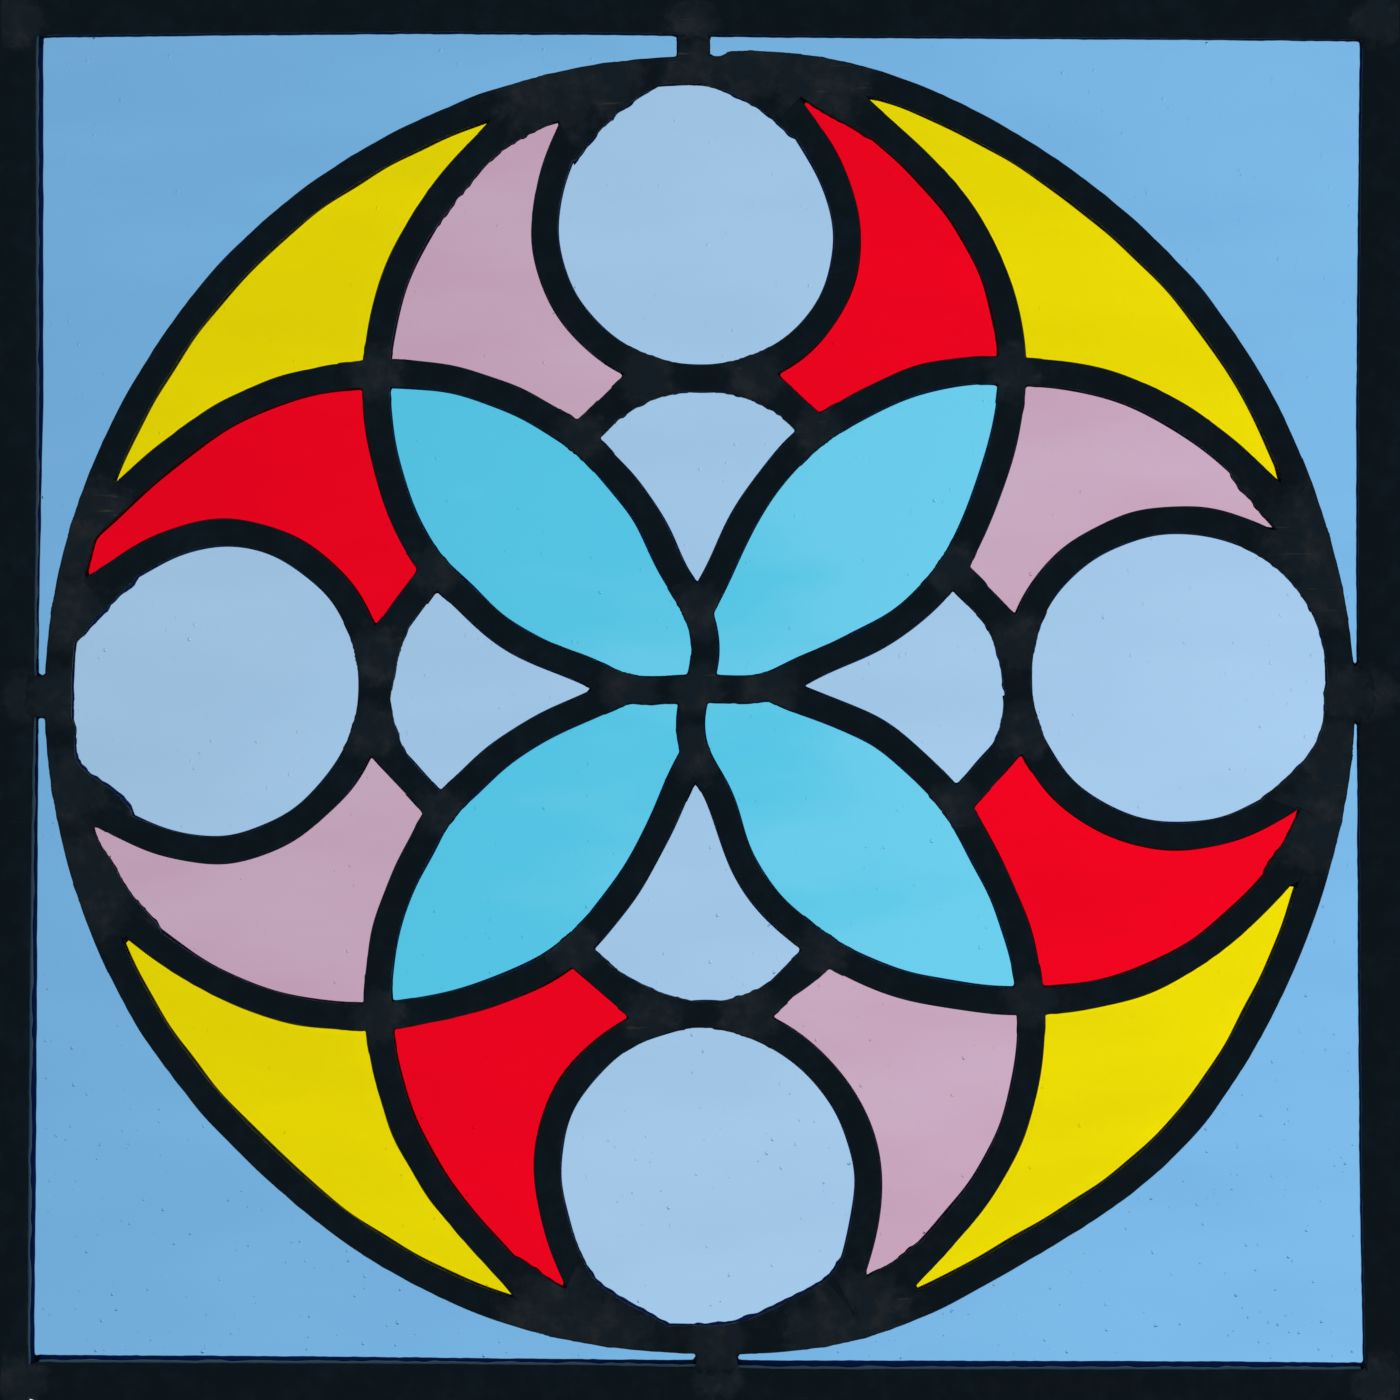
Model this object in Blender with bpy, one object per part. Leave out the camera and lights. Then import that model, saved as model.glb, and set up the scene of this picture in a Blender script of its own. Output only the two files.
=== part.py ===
"""A square leaded glass panel, 12 inches each way, with a rosette of four lobes in a ring.

It is drawn flat, x to the right and y up with z towards the front, and a parent empty stands it up:
the front then looks along -Y and the origin is the middle of the panel's bottom edge.
Every line of the design is the middle of a lead came. The cames are swept along the lines, and the
glass is one sheet with a kerf sawn out of it along the same lines.
"""

import math

import bmesh
import bpy
import numpy as np
from mathutils import Vector
from mathutils.bvhtree import BVHTree

# Driving dimensions, in metres
PANEL_SIDE = 0.305
BORDER_WIDTH = 0.0084
BORDER_WEB = 0.0015
CAME_WIDTH = 0.006
HEART = 0.0015
INNER_FLANGE = 0.00095
BORDER_FLANGE = 0.0013
GLASS_THICKNESS = 0.003
PUTTY_BED = 0.0003
GLASS_CLEARANCE = 0.0005
BUTT_GAP = 0.0003
RING_TO_BORDER = 0.0007

# What follows from them
CHANNEL = GLASS_THICKNESS + 2 * PUTTY_BED
INNER_DEPTH = CHANNEL + 2 * INNER_FLANGE
BORDER_DEPTH = CHANNEL + 2 * BORDER_FLANGE
KERF = HEART + 2 * GLASS_CLEARANCE
HALF_SIDE = PANEL_SIDE / 2
RING_REACH = HALF_SIDE - BORDER_WIDTH - RING_TO_BORDER - CAME_WIDTH / 2

# Points of a mesh that lie this close together are one
SAME_POINT = 1e-7
SLIVER = 2e-6

# Lengths of the flat facets that the bends are made of
RING_FACET = 0.018
LOBE_FACET = 0.0125
ROUNDEL_FACET = 0.0093
SHOULDER_FACET = 0.007

# The drawing, in millimetres from the panel's middle. The ring was bent by hand: angles and radii from its
# seam, counter-clockwise. Its ends miss each other by a little
RING = (
    (87, 137.3), (105, 137.2), (120, 137.6), (135, 138.3), (150, 138.5), (165, 139.2), (180, 139.7),
    (195, 139.2), (210, 138.7), (225, 137.7), (240, 138.5), (255, 139.3), (270, 139.4), (285, 140.4),
    (300, 138.5), (315, 140.3), (330, 139.5), (345, 139.0), (360, 139.6), (375, 138.6), (390, 138.3),
    (405, 138.1), (420, 138.3), (435, 139.5), (447, 138.5),
)
# The scale turns the drawing into metres of the panel, so that the ring's widest place reaches the border
DRAWING_SCALE = RING_REACH / max(radius for angle, radius in RING)
MIDDLE = (-0.5, 2.5)
TIPS = {
    "top_left": (-70.5, 71),
    "top_right": (68, 71.5),
    "bottom_right": (72, -65.5),
    "bottom_left": (-70, -69),
}
# Where the two lines of a petal pair run together, on the way to the middle
STEMS = {"top": (-0.5, 19), "right": (15, 3), "bottom": (-1, -11.5), "left": (-15.5, 2.5)}
# Half of a lobe's line as far as its tip: its foot as an angle of the ring, its neck, its haunch, its tip
HALF_LOBE_FEET = {
    "top_left": (104, (-41.7, 125.7), (-61, 103), "top_left"),
    "top_right": (79.3, (34, 129.3), (56.5, 106.8), "top_right"),
    "right_upper": (14.6, (127, 42.5), (101.8, 63.3), "top_right"),
    "right_lower": (-10.7, (131.3, -32.7), (107, -55.8), "bottom_right"),
    "bottom_right": (-75.5, (42, -128.5), (64.2, -101.7), "bottom_right"),
    "bottom_left": (-103, (-37.5, -128.7), (-59, -103.2), "bottom_left"),
    "left_lower": (-163.3, (-126.3, -46.7), (-101.3, -63.3), "bottom_left"),
    "left_upper": (164.6, (-127.7, 43), (-103, 62.3), "top_left"),
}
# The rest of the line: the petal's edge, whose third point is the shoulder's joint, and its stem
HALF_LOBE_PETALS = {
    "top_left": ((-67.5, 48.4), (-62.2, 35), (-57.6, 28.4), (-52, 22.9), (-39.6, 12.8), (-25, 6.5), "left"),
    "top_right": ((64, 49.2), (58.7, 35.7), (54.8, 28.6), (49.9, 22.7), (37.7, 13.5), (23.7, 7.2), "right"),
    "right_upper": ((45, 68.8), (32.5, 62.8), (25.7, 58.6), (19.8, 53.2), (10.5, 41.1), (3.6, 27), "top"),
    "right_lower": (
        (48.4, -63), (34.2, -58.2), (26.8, -54), (20.3, -49), (9.4, -35.7), (3.5, -19.8), "bottom"),
    "bottom_right": (
        (66.2, -42.7), (59.7, -29.8), (55.8, -23.2), (50.3, -17), (38.6, -7), (24.2, -0.9), "right"),
    "bottom_left": (
        (-66.9, -45.1), (-60.7, -31.6), (-56.4, -24.4), (-51, -18.6), (-38.8, -8.5), (-24.6, -1.5), "left"),
    "left_lower": (
        (-47.5, -64.5), (-34.5, -59), (-27.7, -54.3), (-21.7, -48.2), (-12.2, -34.6), (-5.1, -19.5),
        "bottom"),
    "left_upper": (
        (-46.5, 67.7), (-33.6, 61.7), (-26.4, 57), (-20.6, 51.4), (-11.5, 39.9), (-4.8, 26.5), "top"),
}
TIP, SHOULDER_JOINT = 3, 6
# The roundels' lines, from one foot on the ring to the other, the feet as angles
ROUNDELS = {
    "top": (98.6, (-30.6, 118), (-33.8, 102), (-26.2, 82.2), (-0.5, 70),
            (25.2, 81.3), (32.1, 101), (23.6, 123.5), 85.4),
    "right": (9.9, (118.5, 36.5), (101.5, 39.1), (76.4, 26.1), (69.2, 4.5),
              (79, -19.3), (105.5, -29.7), (123, -24.7), -5),
    "bottom": (-78.9, (35, -117.5), (36.6, -104.5), (30.6, -86), (1, -68.5),
               (-22.2, -77.5), (-32.7, -96), (-29, -121), -98.2),
    "left": (172.1, (-122, 30.6), (-105, 36.5), (-79.5, 25), (-71.3, 2),
             (-79.5, -19), (-103.5, -32.5), (-121, -29.4), -172.1),
}
# A shoulder came: the half lobe that it starts on, and its foot on the roundel
SHOULDERS = {
    "top_left": ("left_upper", (-11.6, 70.5)),
    "top_right": ("right_upper", (12, 70.5)),
    "right_upper": ("top_right", (69, 13)),
    "right_lower": ("bottom_right", (70, -6.5)),
    "bottom_right": ("right_lower", (11, -68.5)),
    "bottom_left": ("left_lower", (-10.5, -68.5)),
    "left_lower": ("bottom_left", (-71.5, -7)),
    "left_upper": ("top_left", (-70.8, 9.8)),
}
# A tie came's angle on the ring, and its width in metres
TIES = {"top": (90.6, 0.007), "right": (0.6, 0.012), "bottom": (-88.5, 0.009), "left": (179.7, 0.009)}

# Colours in linear light
LEAD_GREY = (0.016, 0.019, 0.022)
GLASS_COLOURS = {
    "sky_blue": (0.20, 0.44, 0.74),
    "pale_blue": (0.36, 0.56, 0.76),
    "turquoise": (0.10, 0.55, 0.78),
    "yellow": (0.78, 0.66, 0.002),
    "pink": (0.60, 0.40, 0.55),
    "red": (0.82, 0.001, 0.015),
}
PANE_GLASS = {
    "corner": "sky_blue",
    "roundel": "pale_blue",
    "bell": "pale_blue",
    "petal": "turquoise",
    "yellow": "yellow",
    "pink": "pink",
    "red": "red",
}
LEAD_ROUGHNESS, LEAD_METALLIC = 0.55, 0.6
GLASS_ROUGHNESS, GLASS_METALLIC = 0.08, 0

# Where the panes lie: the directions in degrees, and for each kind its turn from that direction and its
# distance from the middle as a share of the ring's reach
CORNERS = {"top_right": 45, "top_left": 135, "bottom_left": 225, "bottom_right": 315}
CORNER_PANES = {"corner": (0, 1.2), "yellow": (0, 0.85), "petal": (0, 0.4)}
SIDES = {"right": 0, "top": 90, "left": 180, "bottom": 270}
SIDE_PANES = {"roundel": (0, 0.74), "bell": (0, 0.33), "pink": (30, 0.69), "red": (-30, 0.69)}


def evenly_spaced(line, facet):
    """The line again, as a whole number of facets of equal length, each about as long as asked."""
    along = np.concatenate([[0], np.cumsum(np.hypot(*np.diff(line, axis=0).T))])
    places = np.linspace(0, along[-1], max(2, round(along[-1] / facet)) + 1)
    return np.column_stack([np.interp(places, along, line[:, axis]) for axis in (0, 1)])


def smooth_line(points, facet, steps=40):
    """One cubic curve through the points, with the chords as its parameter and its curvature run on
    at each end. It is found at that many steps a chord, then made into facets."""
    p = np.array(points, float)
    count = len(p)
    chords = np.hypot(*np.diff(p, axis=0).T)
    matrix = np.zeros((count, count))
    slopes = np.zeros((count, 2))
    for i in range(1, count - 1):
        matrix[i, i - 1 : i + 2] = chords[i - 1], 2 * (chords[i - 1] + chords[i]), chords[i]
        slopes[i] = 6 * ((p[i + 1] - p[i]) / chords[i] - (p[i] - p[i - 1]) / chords[i - 1])
    matrix[0, :2] = 1, -1
    matrix[-1, -2:] = -1, 1
    bends = np.linalg.solve(matrix, slopes)
    pieces = []
    for i, chord in enumerate(chords):
        after = np.linspace(0, chord, steps, endpoint=i == count - 2)[:, None]
        before = chord - after
        cubic = (bends[i] * before**3 + bends[i + 1] * after**3) / (6 * chord)
        straight = (p[i] / chord - bends[i] * chord / 6) * before
        straight += (p[i + 1] / chord - bends[i + 1] * chord / 6) * after
        pieces.append(cubic + straight)
    return evenly_spaced(np.concatenate(pieces), facet)


def polar(angle, radius):
    turn = math.radians(angle)
    return radius * math.cos(turn), radius * math.sin(turn)


def ring_foot(angle):
    """The point of the drawn ring at an angle in degrees."""
    line = smooth_line([polar(*station) for station in RING], facet=1)
    angles = np.degrees(np.unwrap(np.arctan2(line[:, 1], line[:, 0])))
    angle = angles[0] + (angle - angles[0]) % 360
    return polar(angle, np.interp(angle, angles, np.hypot(*line.T)))


def drawn(*points):
    """Points of the drawing as an array in metres, at the panel's own size. A bare number is a foot on
    the ring at that angle."""
    placed = [p if isinstance(p, tuple) else ring_foot(p) for p in points]
    return np.array(placed, float) * DRAWING_SCALE


def ring_line():
    """The ring, open by the butt gap at its seam."""
    half_gap = math.degrees(BUTT_GAP / 2 / RING_REACH)
    (first, start), *stations, (last, end) = RING
    stations = [(first + half_gap, start), *stations, (last - half_gap, end)]
    return smooth_line(drawn(*[polar(*station) for station in stations]), RING_FACET)


def half_lobe(name, first=0, last=None):
    """The drawn points of half a lobe from its ring foot to the middle, or a stretch of them."""
    *outer, tip = HALF_LOBE_FEET[name]
    *petal, stem = HALF_LOBE_PETALS[name]
    return [*outer, TIPS[tip], *petal, STEMS[stem], MIDDLE][first:last]


def nearest(line, point):
    """The place on a line of facets that is nearest to a point."""
    starts, runs = line[:-1], np.diff(line, axis=0)
    shares = np.clip(np.sum((point - starts) * runs, axis=1) / np.sum(runs**2, axis=1), 0, 1)
    places = starts + shares[:, None] * runs
    return places[np.argmin(np.hypot(*(places - point).T))]


def section_h(width):
    """An H section: two flanges joined by a heart, with a channel on each side."""
    w, h, c, d = width / 2, HEART / 2, CHANNEL / 2, INNER_DEPTH / 2
    return [(-w, -d), (w, -d), (w, -c), (h, -c), (h, c), (w, c),
            (w, d), (-w, d), (-w, c), (-h, c), (-h, -c), (-w, -c)]


def section_u():
    """A U section that opens towards -x, with the outer face of its web at 0."""
    c, d = CHANNEL / 2, BORDER_DEPTH / 2
    return [(-BORDER_WIDTH, -d), (0, -d), (0, d), (-BORDER_WIDTH, d),
            (-BORDER_WIDTH, c), (-BORDER_WEB, c), (-BORDER_WEB, -c), (-BORDER_WIDTH, -c)]


def section_bar(width, height):
    x, y = width / 2, height / 2
    return [(-x, -y), (x, -y), (x, y), (-x, y)]


def flat_curve(name, points, closed):
    curve = bpy.data.curves.new(name, "CURVE")
    curve.dimensions = "2D"
    curve.fill_mode = "NONE"
    spline = curve.splines.new("POLY")
    spline.points.add(len(points) - 1)
    for target, (x, y) in zip(spline.points, points):
        target.co = (x, y, 0, 1)
    spline.use_cyclic_u = closed
    return curve


def swept(line, section, closed=False):
    """A mesh of the section carried along the line, either back to its start or with a cap at each end."""
    curve = flat_curve("sweep", line, closed)
    profile = bpy.data.objects.new("section", flat_curve("section", section, closed=True))
    sweep = bpy.data.objects.new("sweep", curve)
    for helper in (profile, sweep):
        bpy.context.scene.collection.objects.link(helper)
    curve.bevel_mode = "OBJECT"
    curve.bevel_object = profile
    curve.use_fill_caps = True
    graph = bpy.context.evaluated_depsgraph_get()
    mesh = bpy.data.meshes.new_from_object(sweep.evaluated_get(graph))
    bm = bmesh.new()
    bm.from_mesh(mesh)
    bmesh.ops.remove_doubles(bm, verts=bm.verts, dist=SAME_POINT)
    bmesh.ops.recalc_face_normals(bm, faces=bm.faces)
    bm.to_mesh(mesh)
    bm.free()
    for helper in (sweep, profile):
        bpy.data.curves.remove(helper.data)
    return mesh


def boolean(mesh, tools, operation):
    """The mesh after each tool in turn is cut from it, or joined to it. All of them are closed, and the
    exact solver loses a short came whose end lies close to the tool's own facets."""
    cutters = bpy.data.collections.new("cutters")
    bpy.context.scene.collection.children.link(cutters)
    cutters.hide_render = True
    body = bpy.data.objects.new("body", mesh)
    cutters.objects.link(body)
    for tool in tools:
        helper = bpy.data.objects.new("cutter", tool)
        helper.hide_render = True
        helper.display_type = "WIRE"
        cutters.objects.link(helper)
        modifier = body.modifiers.new("cut", "BOOLEAN")
        modifier.operation = operation
        modifier.solver = "MANIFOLD"
        modifier.object = helper
    graph = bpy.context.evaluated_depsgraph_get()
    result = bpy.data.meshes.new_from_object(body.evaluated_get(graph))
    for helper in list(cutters.objects):
        bpy.data.objects.remove(helper)
    bpy.data.collections.remove(cutters)
    return result


def connected(face):
    """Every face that can be reached from this one over its edges."""
    found, front = {face}, [face]
    while front:
        for edge in front.pop().edges:
            for neighbour in edge.link_faces:
                if neighbour not in found:
                    found.add(neighbour)
                    front.append(neighbour)
    return found


def island(mesh, choose):
    """A new mesh of the one loose piece that choose picks a face of."""
    bm = bmesh.new()
    bm.from_mesh(mesh)
    kept = connected(choose(bm))
    bmesh.ops.delete(bm, geom=[face for face in bm.faces if face not in kept], context="FACES")
    bmesh.ops.dissolve_degenerate(bm, edges=bm.edges, dist=SLIVER)
    piece = bpy.data.meshes.new("piece")
    bm.to_mesh(piece)
    bm.free()
    return piece


def largest_face(bm):
    """The face of the greatest area, which is on the came itself and not on an offcut."""
    bm.faces.ensure_lookup_table()
    return max(bm.faces, key=lambda face: face.calc_area())


class Came:
    """A length of lead: its middle line, its width and the mesh of its section along that line. A ring
    is left open at its seam, and the bars that stand for it run on across the seam."""

    def __init__(self, line, width=CAME_WIDTH, ring=False):
        self.line, self.width, self.ring = line, width, ring
        self.mesh = swept(line, section_h(width))

    def clearance_bar(self):
        return swept(self.line, section_bar(self.width + 2 * BUTT_GAP, 2 * INNER_DEPTH), self.ring)

    def kerf_bar(self):
        return swept(self.line, section_bar(KERF, 2 * INNER_DEPTH), self.ring)

    def butt_against(self, others):
        cut = boolean(self.mesh, [other.clearance_bar() for other in others], "DIFFERENCE")
        self.mesh = island(cut, largest_face)


def lobe_cames(ring):
    """The lobes' cames. The top lobe runs through; what crosses it or the bottom lobe is cut there."""
    tip_end, joint = TIP + 1, TIP
    top = Came(smooth_line(drawn(*half_lobe("top_left"), *half_lobe("top_right")[-2::-1]), LOBE_FACET))
    cames = {"lobe_came_top": top}
    top.butt_against([ring])

    def add(name, half, first, last, others):
        cames[name] = Came(smooth_line(drawn(*half_lobe(half, first, last)), LOBE_FACET))
        cames[name].butt_against(others)
        return cames[name]

    bottom = {side: add(f"lobe_came_bottom_{side}", f"bottom_{side}", 0, -1, [ring, top])
              for side in ("left", "right")}
    for side in ("left", "right"):
        add(f"lobe_came_{side}_upper_outer", f"{side}_upper", 0, tip_end, [ring, top])
        add(f"lobe_came_{side}_lower_outer", f"{side}_lower", 0, tip_end, [ring, bottom[side]])
    through = add("lobe_came_left_upper_inner", "left_upper", joint, None, [top])
    add("lobe_came_right_upper_inner", "right_upper", joint, -1, [top, through])
    through = add("lobe_came_right_lower_inner", "right_lower", joint, None, [top, bottom["right"]])
    add("lobe_came_left_lower_inner", "left_lower", joint, -1, [bottom["left"], through])
    return cames


def roundel_cames(ring, lobes):
    """C shaped cames, cut to the ring and to the outer lobe cames beside their feet."""
    beside = {
        "top": ["lobe_came_top"],
        "right": ["lobe_came_right_upper_outer", "lobe_came_right_lower_outer"],
        "bottom": ["lobe_came_bottom_right", "lobe_came_bottom_left"],
        "left": ["lobe_came_left_upper_outer", "lobe_came_left_lower_outer"],
    }
    cames = {}
    for side, points in ROUNDELS.items():
        came = Came(smooth_line(drawn(*points), ROUNDEL_FACET))
        came.butt_against([ring] + [lobes[name] for name in beside[side]])
        cames[f"roundel_came_{side}"] = came
    return cames


def shoulder_cames(lobes, roundels):
    cames = {}
    for name, (half, foot) in SHOULDERS.items():
        side = name.split("_")[0]
        lobe = {
            "top_left": "lobe_came_top", "top_right": "lobe_came_top",
            "bottom_left": "lobe_came_bottom_left", "bottom_right": "lobe_came_bottom_right",
        }.get(half, f"lobe_came_{half}_inner")
        start, near_end = drawn(half_lobe(half)[SHOULDER_JOINT], foot)
        roundel = roundels[f"roundel_came_{side}"]
        end = nearest(roundel.line, near_end)
        came = Came(evenly_spaced(np.array([start, end]), SHOULDER_FACET))
        came.butt_against([lobes[lobe], roundel])
        cames[f"shoulder_came_{name}"] = came
    return cames


def tie_cames(ring, borders):
    """Short cames from the ring to the border. The heart runs on inside the channels at both ends,
    so that the corner panes end against it."""
    cames = {}
    for side, (angle, width) in TIES.items():
        start = Vector(drawn(angle)[0])
        upright = side in ("top", "bottom")
        reach = math.copysign(HALF_SIDE, start[1] if upright else start[0])
        end = Vector((start[0], reach)) if upright else Vector((reach, start[1]))
        outwards = (end - start).normalized()
        came = Came([start, end], width)
        came.butt_against([ring, borders[side]])
        tongue = swept(
            [start + outwards * (HEART / 2 + BUTT_GAP), end - outwards * (BORDER_WEB + BUTT_GAP)],
            section_bar(HEART, GLASS_THICKNESS))
        came.mesh = boolean(came.mesh, [tongue], "UNION")
        cames[f"tie_came_{side}"] = came
    return cames


class BorderCame:
    """A straight U came along the panel's edge, its channel towards the glass."""

    def __init__(self, start, end):
        self.line = [start, end]
        self.mesh = swept(self.line, section_u())

    def clearance_bar(self):
        bar = section_bar(BORDER_WIDTH + 2 * BUTT_GAP, 2 * BORDER_DEPTH)
        return swept(self.line, [(x - BORDER_WIDTH / 2, y) for x, y in bar])


def border_cames():
    """Left and right run the full height, and the top and bottom butt between them."""
    s = HALF_SIDE
    b = s - BORDER_WIDTH - BUTT_GAP
    return {
        "left": BorderCame((-s, s), (-s, -s)),
        "right": BorderCame((s, -s), (s, s)),
        "top": BorderCame((b, s), (-b, s)),
        "bottom": BorderCame((-b, -s), (b, -s)),
    }


def pane_places():
    """Each pane's kind, its place's name, and a point in it as x and y."""
    for places, kinds in ((CORNERS, CORNER_PANES), (SIDES, SIDE_PANES)):
        for place, angle in places.items():
            for kind, (turn, share) in kinds.items():
                yield kind, place, polar(angle + turn, share * RING_REACH)


def panes(cames):
    """One sheet as large as the border's channels, sawn along every came's middle line."""
    sheet_side = PANEL_SIDE - 2 * (BORDER_WEB + GLASS_CLEARANCE)
    bm = bmesh.new()
    bmesh.ops.create_cube(bm, size=1)
    bmesh.ops.scale(bm, verts=bm.verts, vec=(sheet_side, sheet_side, GLASS_THICKNESS))
    sheet = bpy.data.meshes.new("sheet")
    bm.to_mesh(sheet)
    bm.free()
    sawn = boolean(sheet, [came.kerf_bar() for came in cames], "DIFFERENCE")
    pieces = {}
    for kind, place, (x, y) in pane_places():

        def face_at_place(bm):
            bm.faces.ensure_lookup_table()
            hit = BVHTree.FromBMesh(bm).ray_cast(Vector((x, y, BORDER_DEPTH)), Vector((0, 0, -1)))
            return bm.faces[hit[2]]

        pieces[f"{kind}_glass_{place}"] = island(sawn, face_at_place)
    return pieces


def material(name, colour, roughness, metallic):
    made = bpy.data.materials.new(name)
    made.use_nodes = True
    shader = made.node_tree.nodes["Principled BSDF"]
    shader.inputs["Base Color"].default_value = (*colour, 1)
    shader.inputs["Roughness"].default_value = roughness
    shader.inputs["Metallic"].default_value = metallic
    return made


def main():
    for obj in list(bpy.data.objects):
        bpy.data.objects.remove(obj)
    panel = bpy.data.collections.new("stained_glass_panel")
    bpy.context.scene.collection.children.link(panel)
    upright = bpy.data.objects.new("panel_upright", None)
    upright.location = (0, 0, HALF_SIDE)
    upright.rotation_euler = (math.pi / 2, 0, 0)
    panel.objects.link(upright)

    ring = Came(ring_line(), ring=True)
    borders = border_cames()
    lobes = lobe_cames(ring)
    roundels = roundel_cames(ring, lobes)
    shoulders = shoulder_cames(lobes, roundels)
    ties = tie_cames(ring, borders)
    inner = {"ring_came": ring, **lobes, **roundels, **shoulders, **ties}

    def add(name, mesh, look):
        mesh.name = name
        obj = bpy.data.objects.new(name, mesh)
        obj.parent = upright
        obj.data.materials.clear()
        obj.data.materials.append(look)
        panel.objects.link(obj)

    lead = material("lead", LEAD_GREY, LEAD_ROUGHNESS, LEAD_METALLIC)
    for side, came in borders.items():
        add(f"border_came_{side}", came.mesh, lead)
    for name, came in inner.items():
        add(name, came.mesh, lead)
    looks = {
        glass: material(f"{glass}_glass", colour, GLASS_ROUGHNESS, GLASS_METALLIC)
        for glass, colour in GLASS_COLOURS.items()
    }
    for name, mesh in panes(inner.values()).items():
        add(name, mesh, looks[PANE_GLASS[name.split("_")[0]]])


main()
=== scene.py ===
"""Dresses the leaded glass panel: bent lead cames with hand dressed edges, solder on every joint, putty
under the leads and bubbles sealed in the coloured glass, against a pale sky.

The design is drawn flat, x to the right and y up from the panel's middle, with a height towards the
front; upright() turns it into the frame, where the front looks along -Y.
"""

import math

import bpy
import numpy as np
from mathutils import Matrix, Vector
from mathutils.bvhtree import BVHTree


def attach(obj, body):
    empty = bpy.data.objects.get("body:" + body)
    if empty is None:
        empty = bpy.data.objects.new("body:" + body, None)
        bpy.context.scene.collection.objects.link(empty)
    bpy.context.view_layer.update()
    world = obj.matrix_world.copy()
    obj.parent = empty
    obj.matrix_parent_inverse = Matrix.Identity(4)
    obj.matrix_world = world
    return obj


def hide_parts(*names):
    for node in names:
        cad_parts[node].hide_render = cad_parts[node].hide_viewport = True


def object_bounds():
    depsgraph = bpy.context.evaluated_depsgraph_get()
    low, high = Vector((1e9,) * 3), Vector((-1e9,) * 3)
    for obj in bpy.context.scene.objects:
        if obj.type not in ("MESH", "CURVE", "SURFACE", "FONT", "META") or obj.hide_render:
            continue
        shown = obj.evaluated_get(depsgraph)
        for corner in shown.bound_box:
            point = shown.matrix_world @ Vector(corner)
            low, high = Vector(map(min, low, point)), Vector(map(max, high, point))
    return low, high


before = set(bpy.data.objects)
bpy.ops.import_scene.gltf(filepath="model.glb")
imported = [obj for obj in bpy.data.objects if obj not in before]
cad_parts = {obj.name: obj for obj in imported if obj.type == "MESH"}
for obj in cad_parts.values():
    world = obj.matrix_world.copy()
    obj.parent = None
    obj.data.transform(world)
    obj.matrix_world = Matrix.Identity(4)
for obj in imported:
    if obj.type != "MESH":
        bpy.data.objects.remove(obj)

CAD_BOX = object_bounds()
MM = 0.001

# Driving dimensions of the leading and the glass, in metres
HALF_SIDE = CAD_BOX[1].x
BORDER_WIDTH = 8.4 * MM
BORDER_WEB = 1.5 * MM
CAME_WIDTH = 6.0 * MM
HEART = 1.5 * MM
GLASS = 3.0 * MM
CHANNEL = 3.6 * MM
INNER_DEPTH = 5.5 * MM
BORDER_DEPTH = 6.2 * MM
BORDER_FACE = 6.0 * MM
BUTT_GAP = 0.3 * MM
FLANGE_ROUNDING = 0.3 * MM
FLANGE_CROWN = 0.06 * MM
EDGE_ROUNDING = 0.12 * MM
STEP = 0.75 * MM
SEAT = 0.02 * MM

# How the edges of the leads differ from the drawn width, and how far they stray
FRONT_SET_BACK = 0.16 * MM
BACK_SET_OUT = 0.10 * MM
EDGE_STRAY = 0.045 * MM
BACK_STRAY = 0.13 * MM
BACK_WAVES = (14 * MM, 90 * MM)

# The drawing, in millimetres from the panel's middle, as the part's own source has it
RING = (
    (87, 137.3), (105, 137.2), (120, 137.6), (135, 138.3), (150, 138.5), (165, 139.2), (180, 139.7),
    (195, 139.2), (210, 138.7), (225, 137.7), (240, 138.5), (255, 139.3), (270, 139.4), (285, 140.4),
    (300, 138.5), (315, 140.3), (330, 139.5), (345, 139.0), (360, 139.6), (375, 138.6), (390, 138.3),
    (405, 138.1), (420, 138.3), (435, 139.5), (447, 138.5),
)
MIDDLE = (-0.5, 2.5)
TIPS = {
    "top_left": (-70.5, 71),
    "top_right": (68, 71.5),
    "bottom_right": (72, -65.5),
    "bottom_left": (-70, -69),
}
STEMS = {"top": (-0.5, 19), "right": (15, 3), "bottom": (-1, -11.5), "left": (-15.5, 2.5)}
# Half of a lobe's line as far as its tip: its foot as an angle of the ring, its neck, its haunch, its tip
HALF_LOBE_FEET = {
    "top_left": (104, (-41.7, 125.7), (-61, 103), "top_left"),
    "top_right": (79.3, (34, 129.3), (56.5, 106.8), "top_right"),
    "right_upper": (14.6, (127, 42.5), (101.8, 63.3), "top_right"),
    "right_lower": (-10.7, (131.3, -32.7), (107, -55.8), "bottom_right"),
    "bottom_right": (-75.5, (42, -128.5), (64.2, -101.7), "bottom_right"),
    "bottom_left": (-103, (-37.5, -128.7), (-59, -103.2), "bottom_left"),
    "left_lower": (-163.3, (-126.3, -46.7), (-101.3, -63.3), "bottom_left"),
    "left_upper": (164.6, (-127.7, 43), (-103, 62.3), "top_left"),
}
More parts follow.
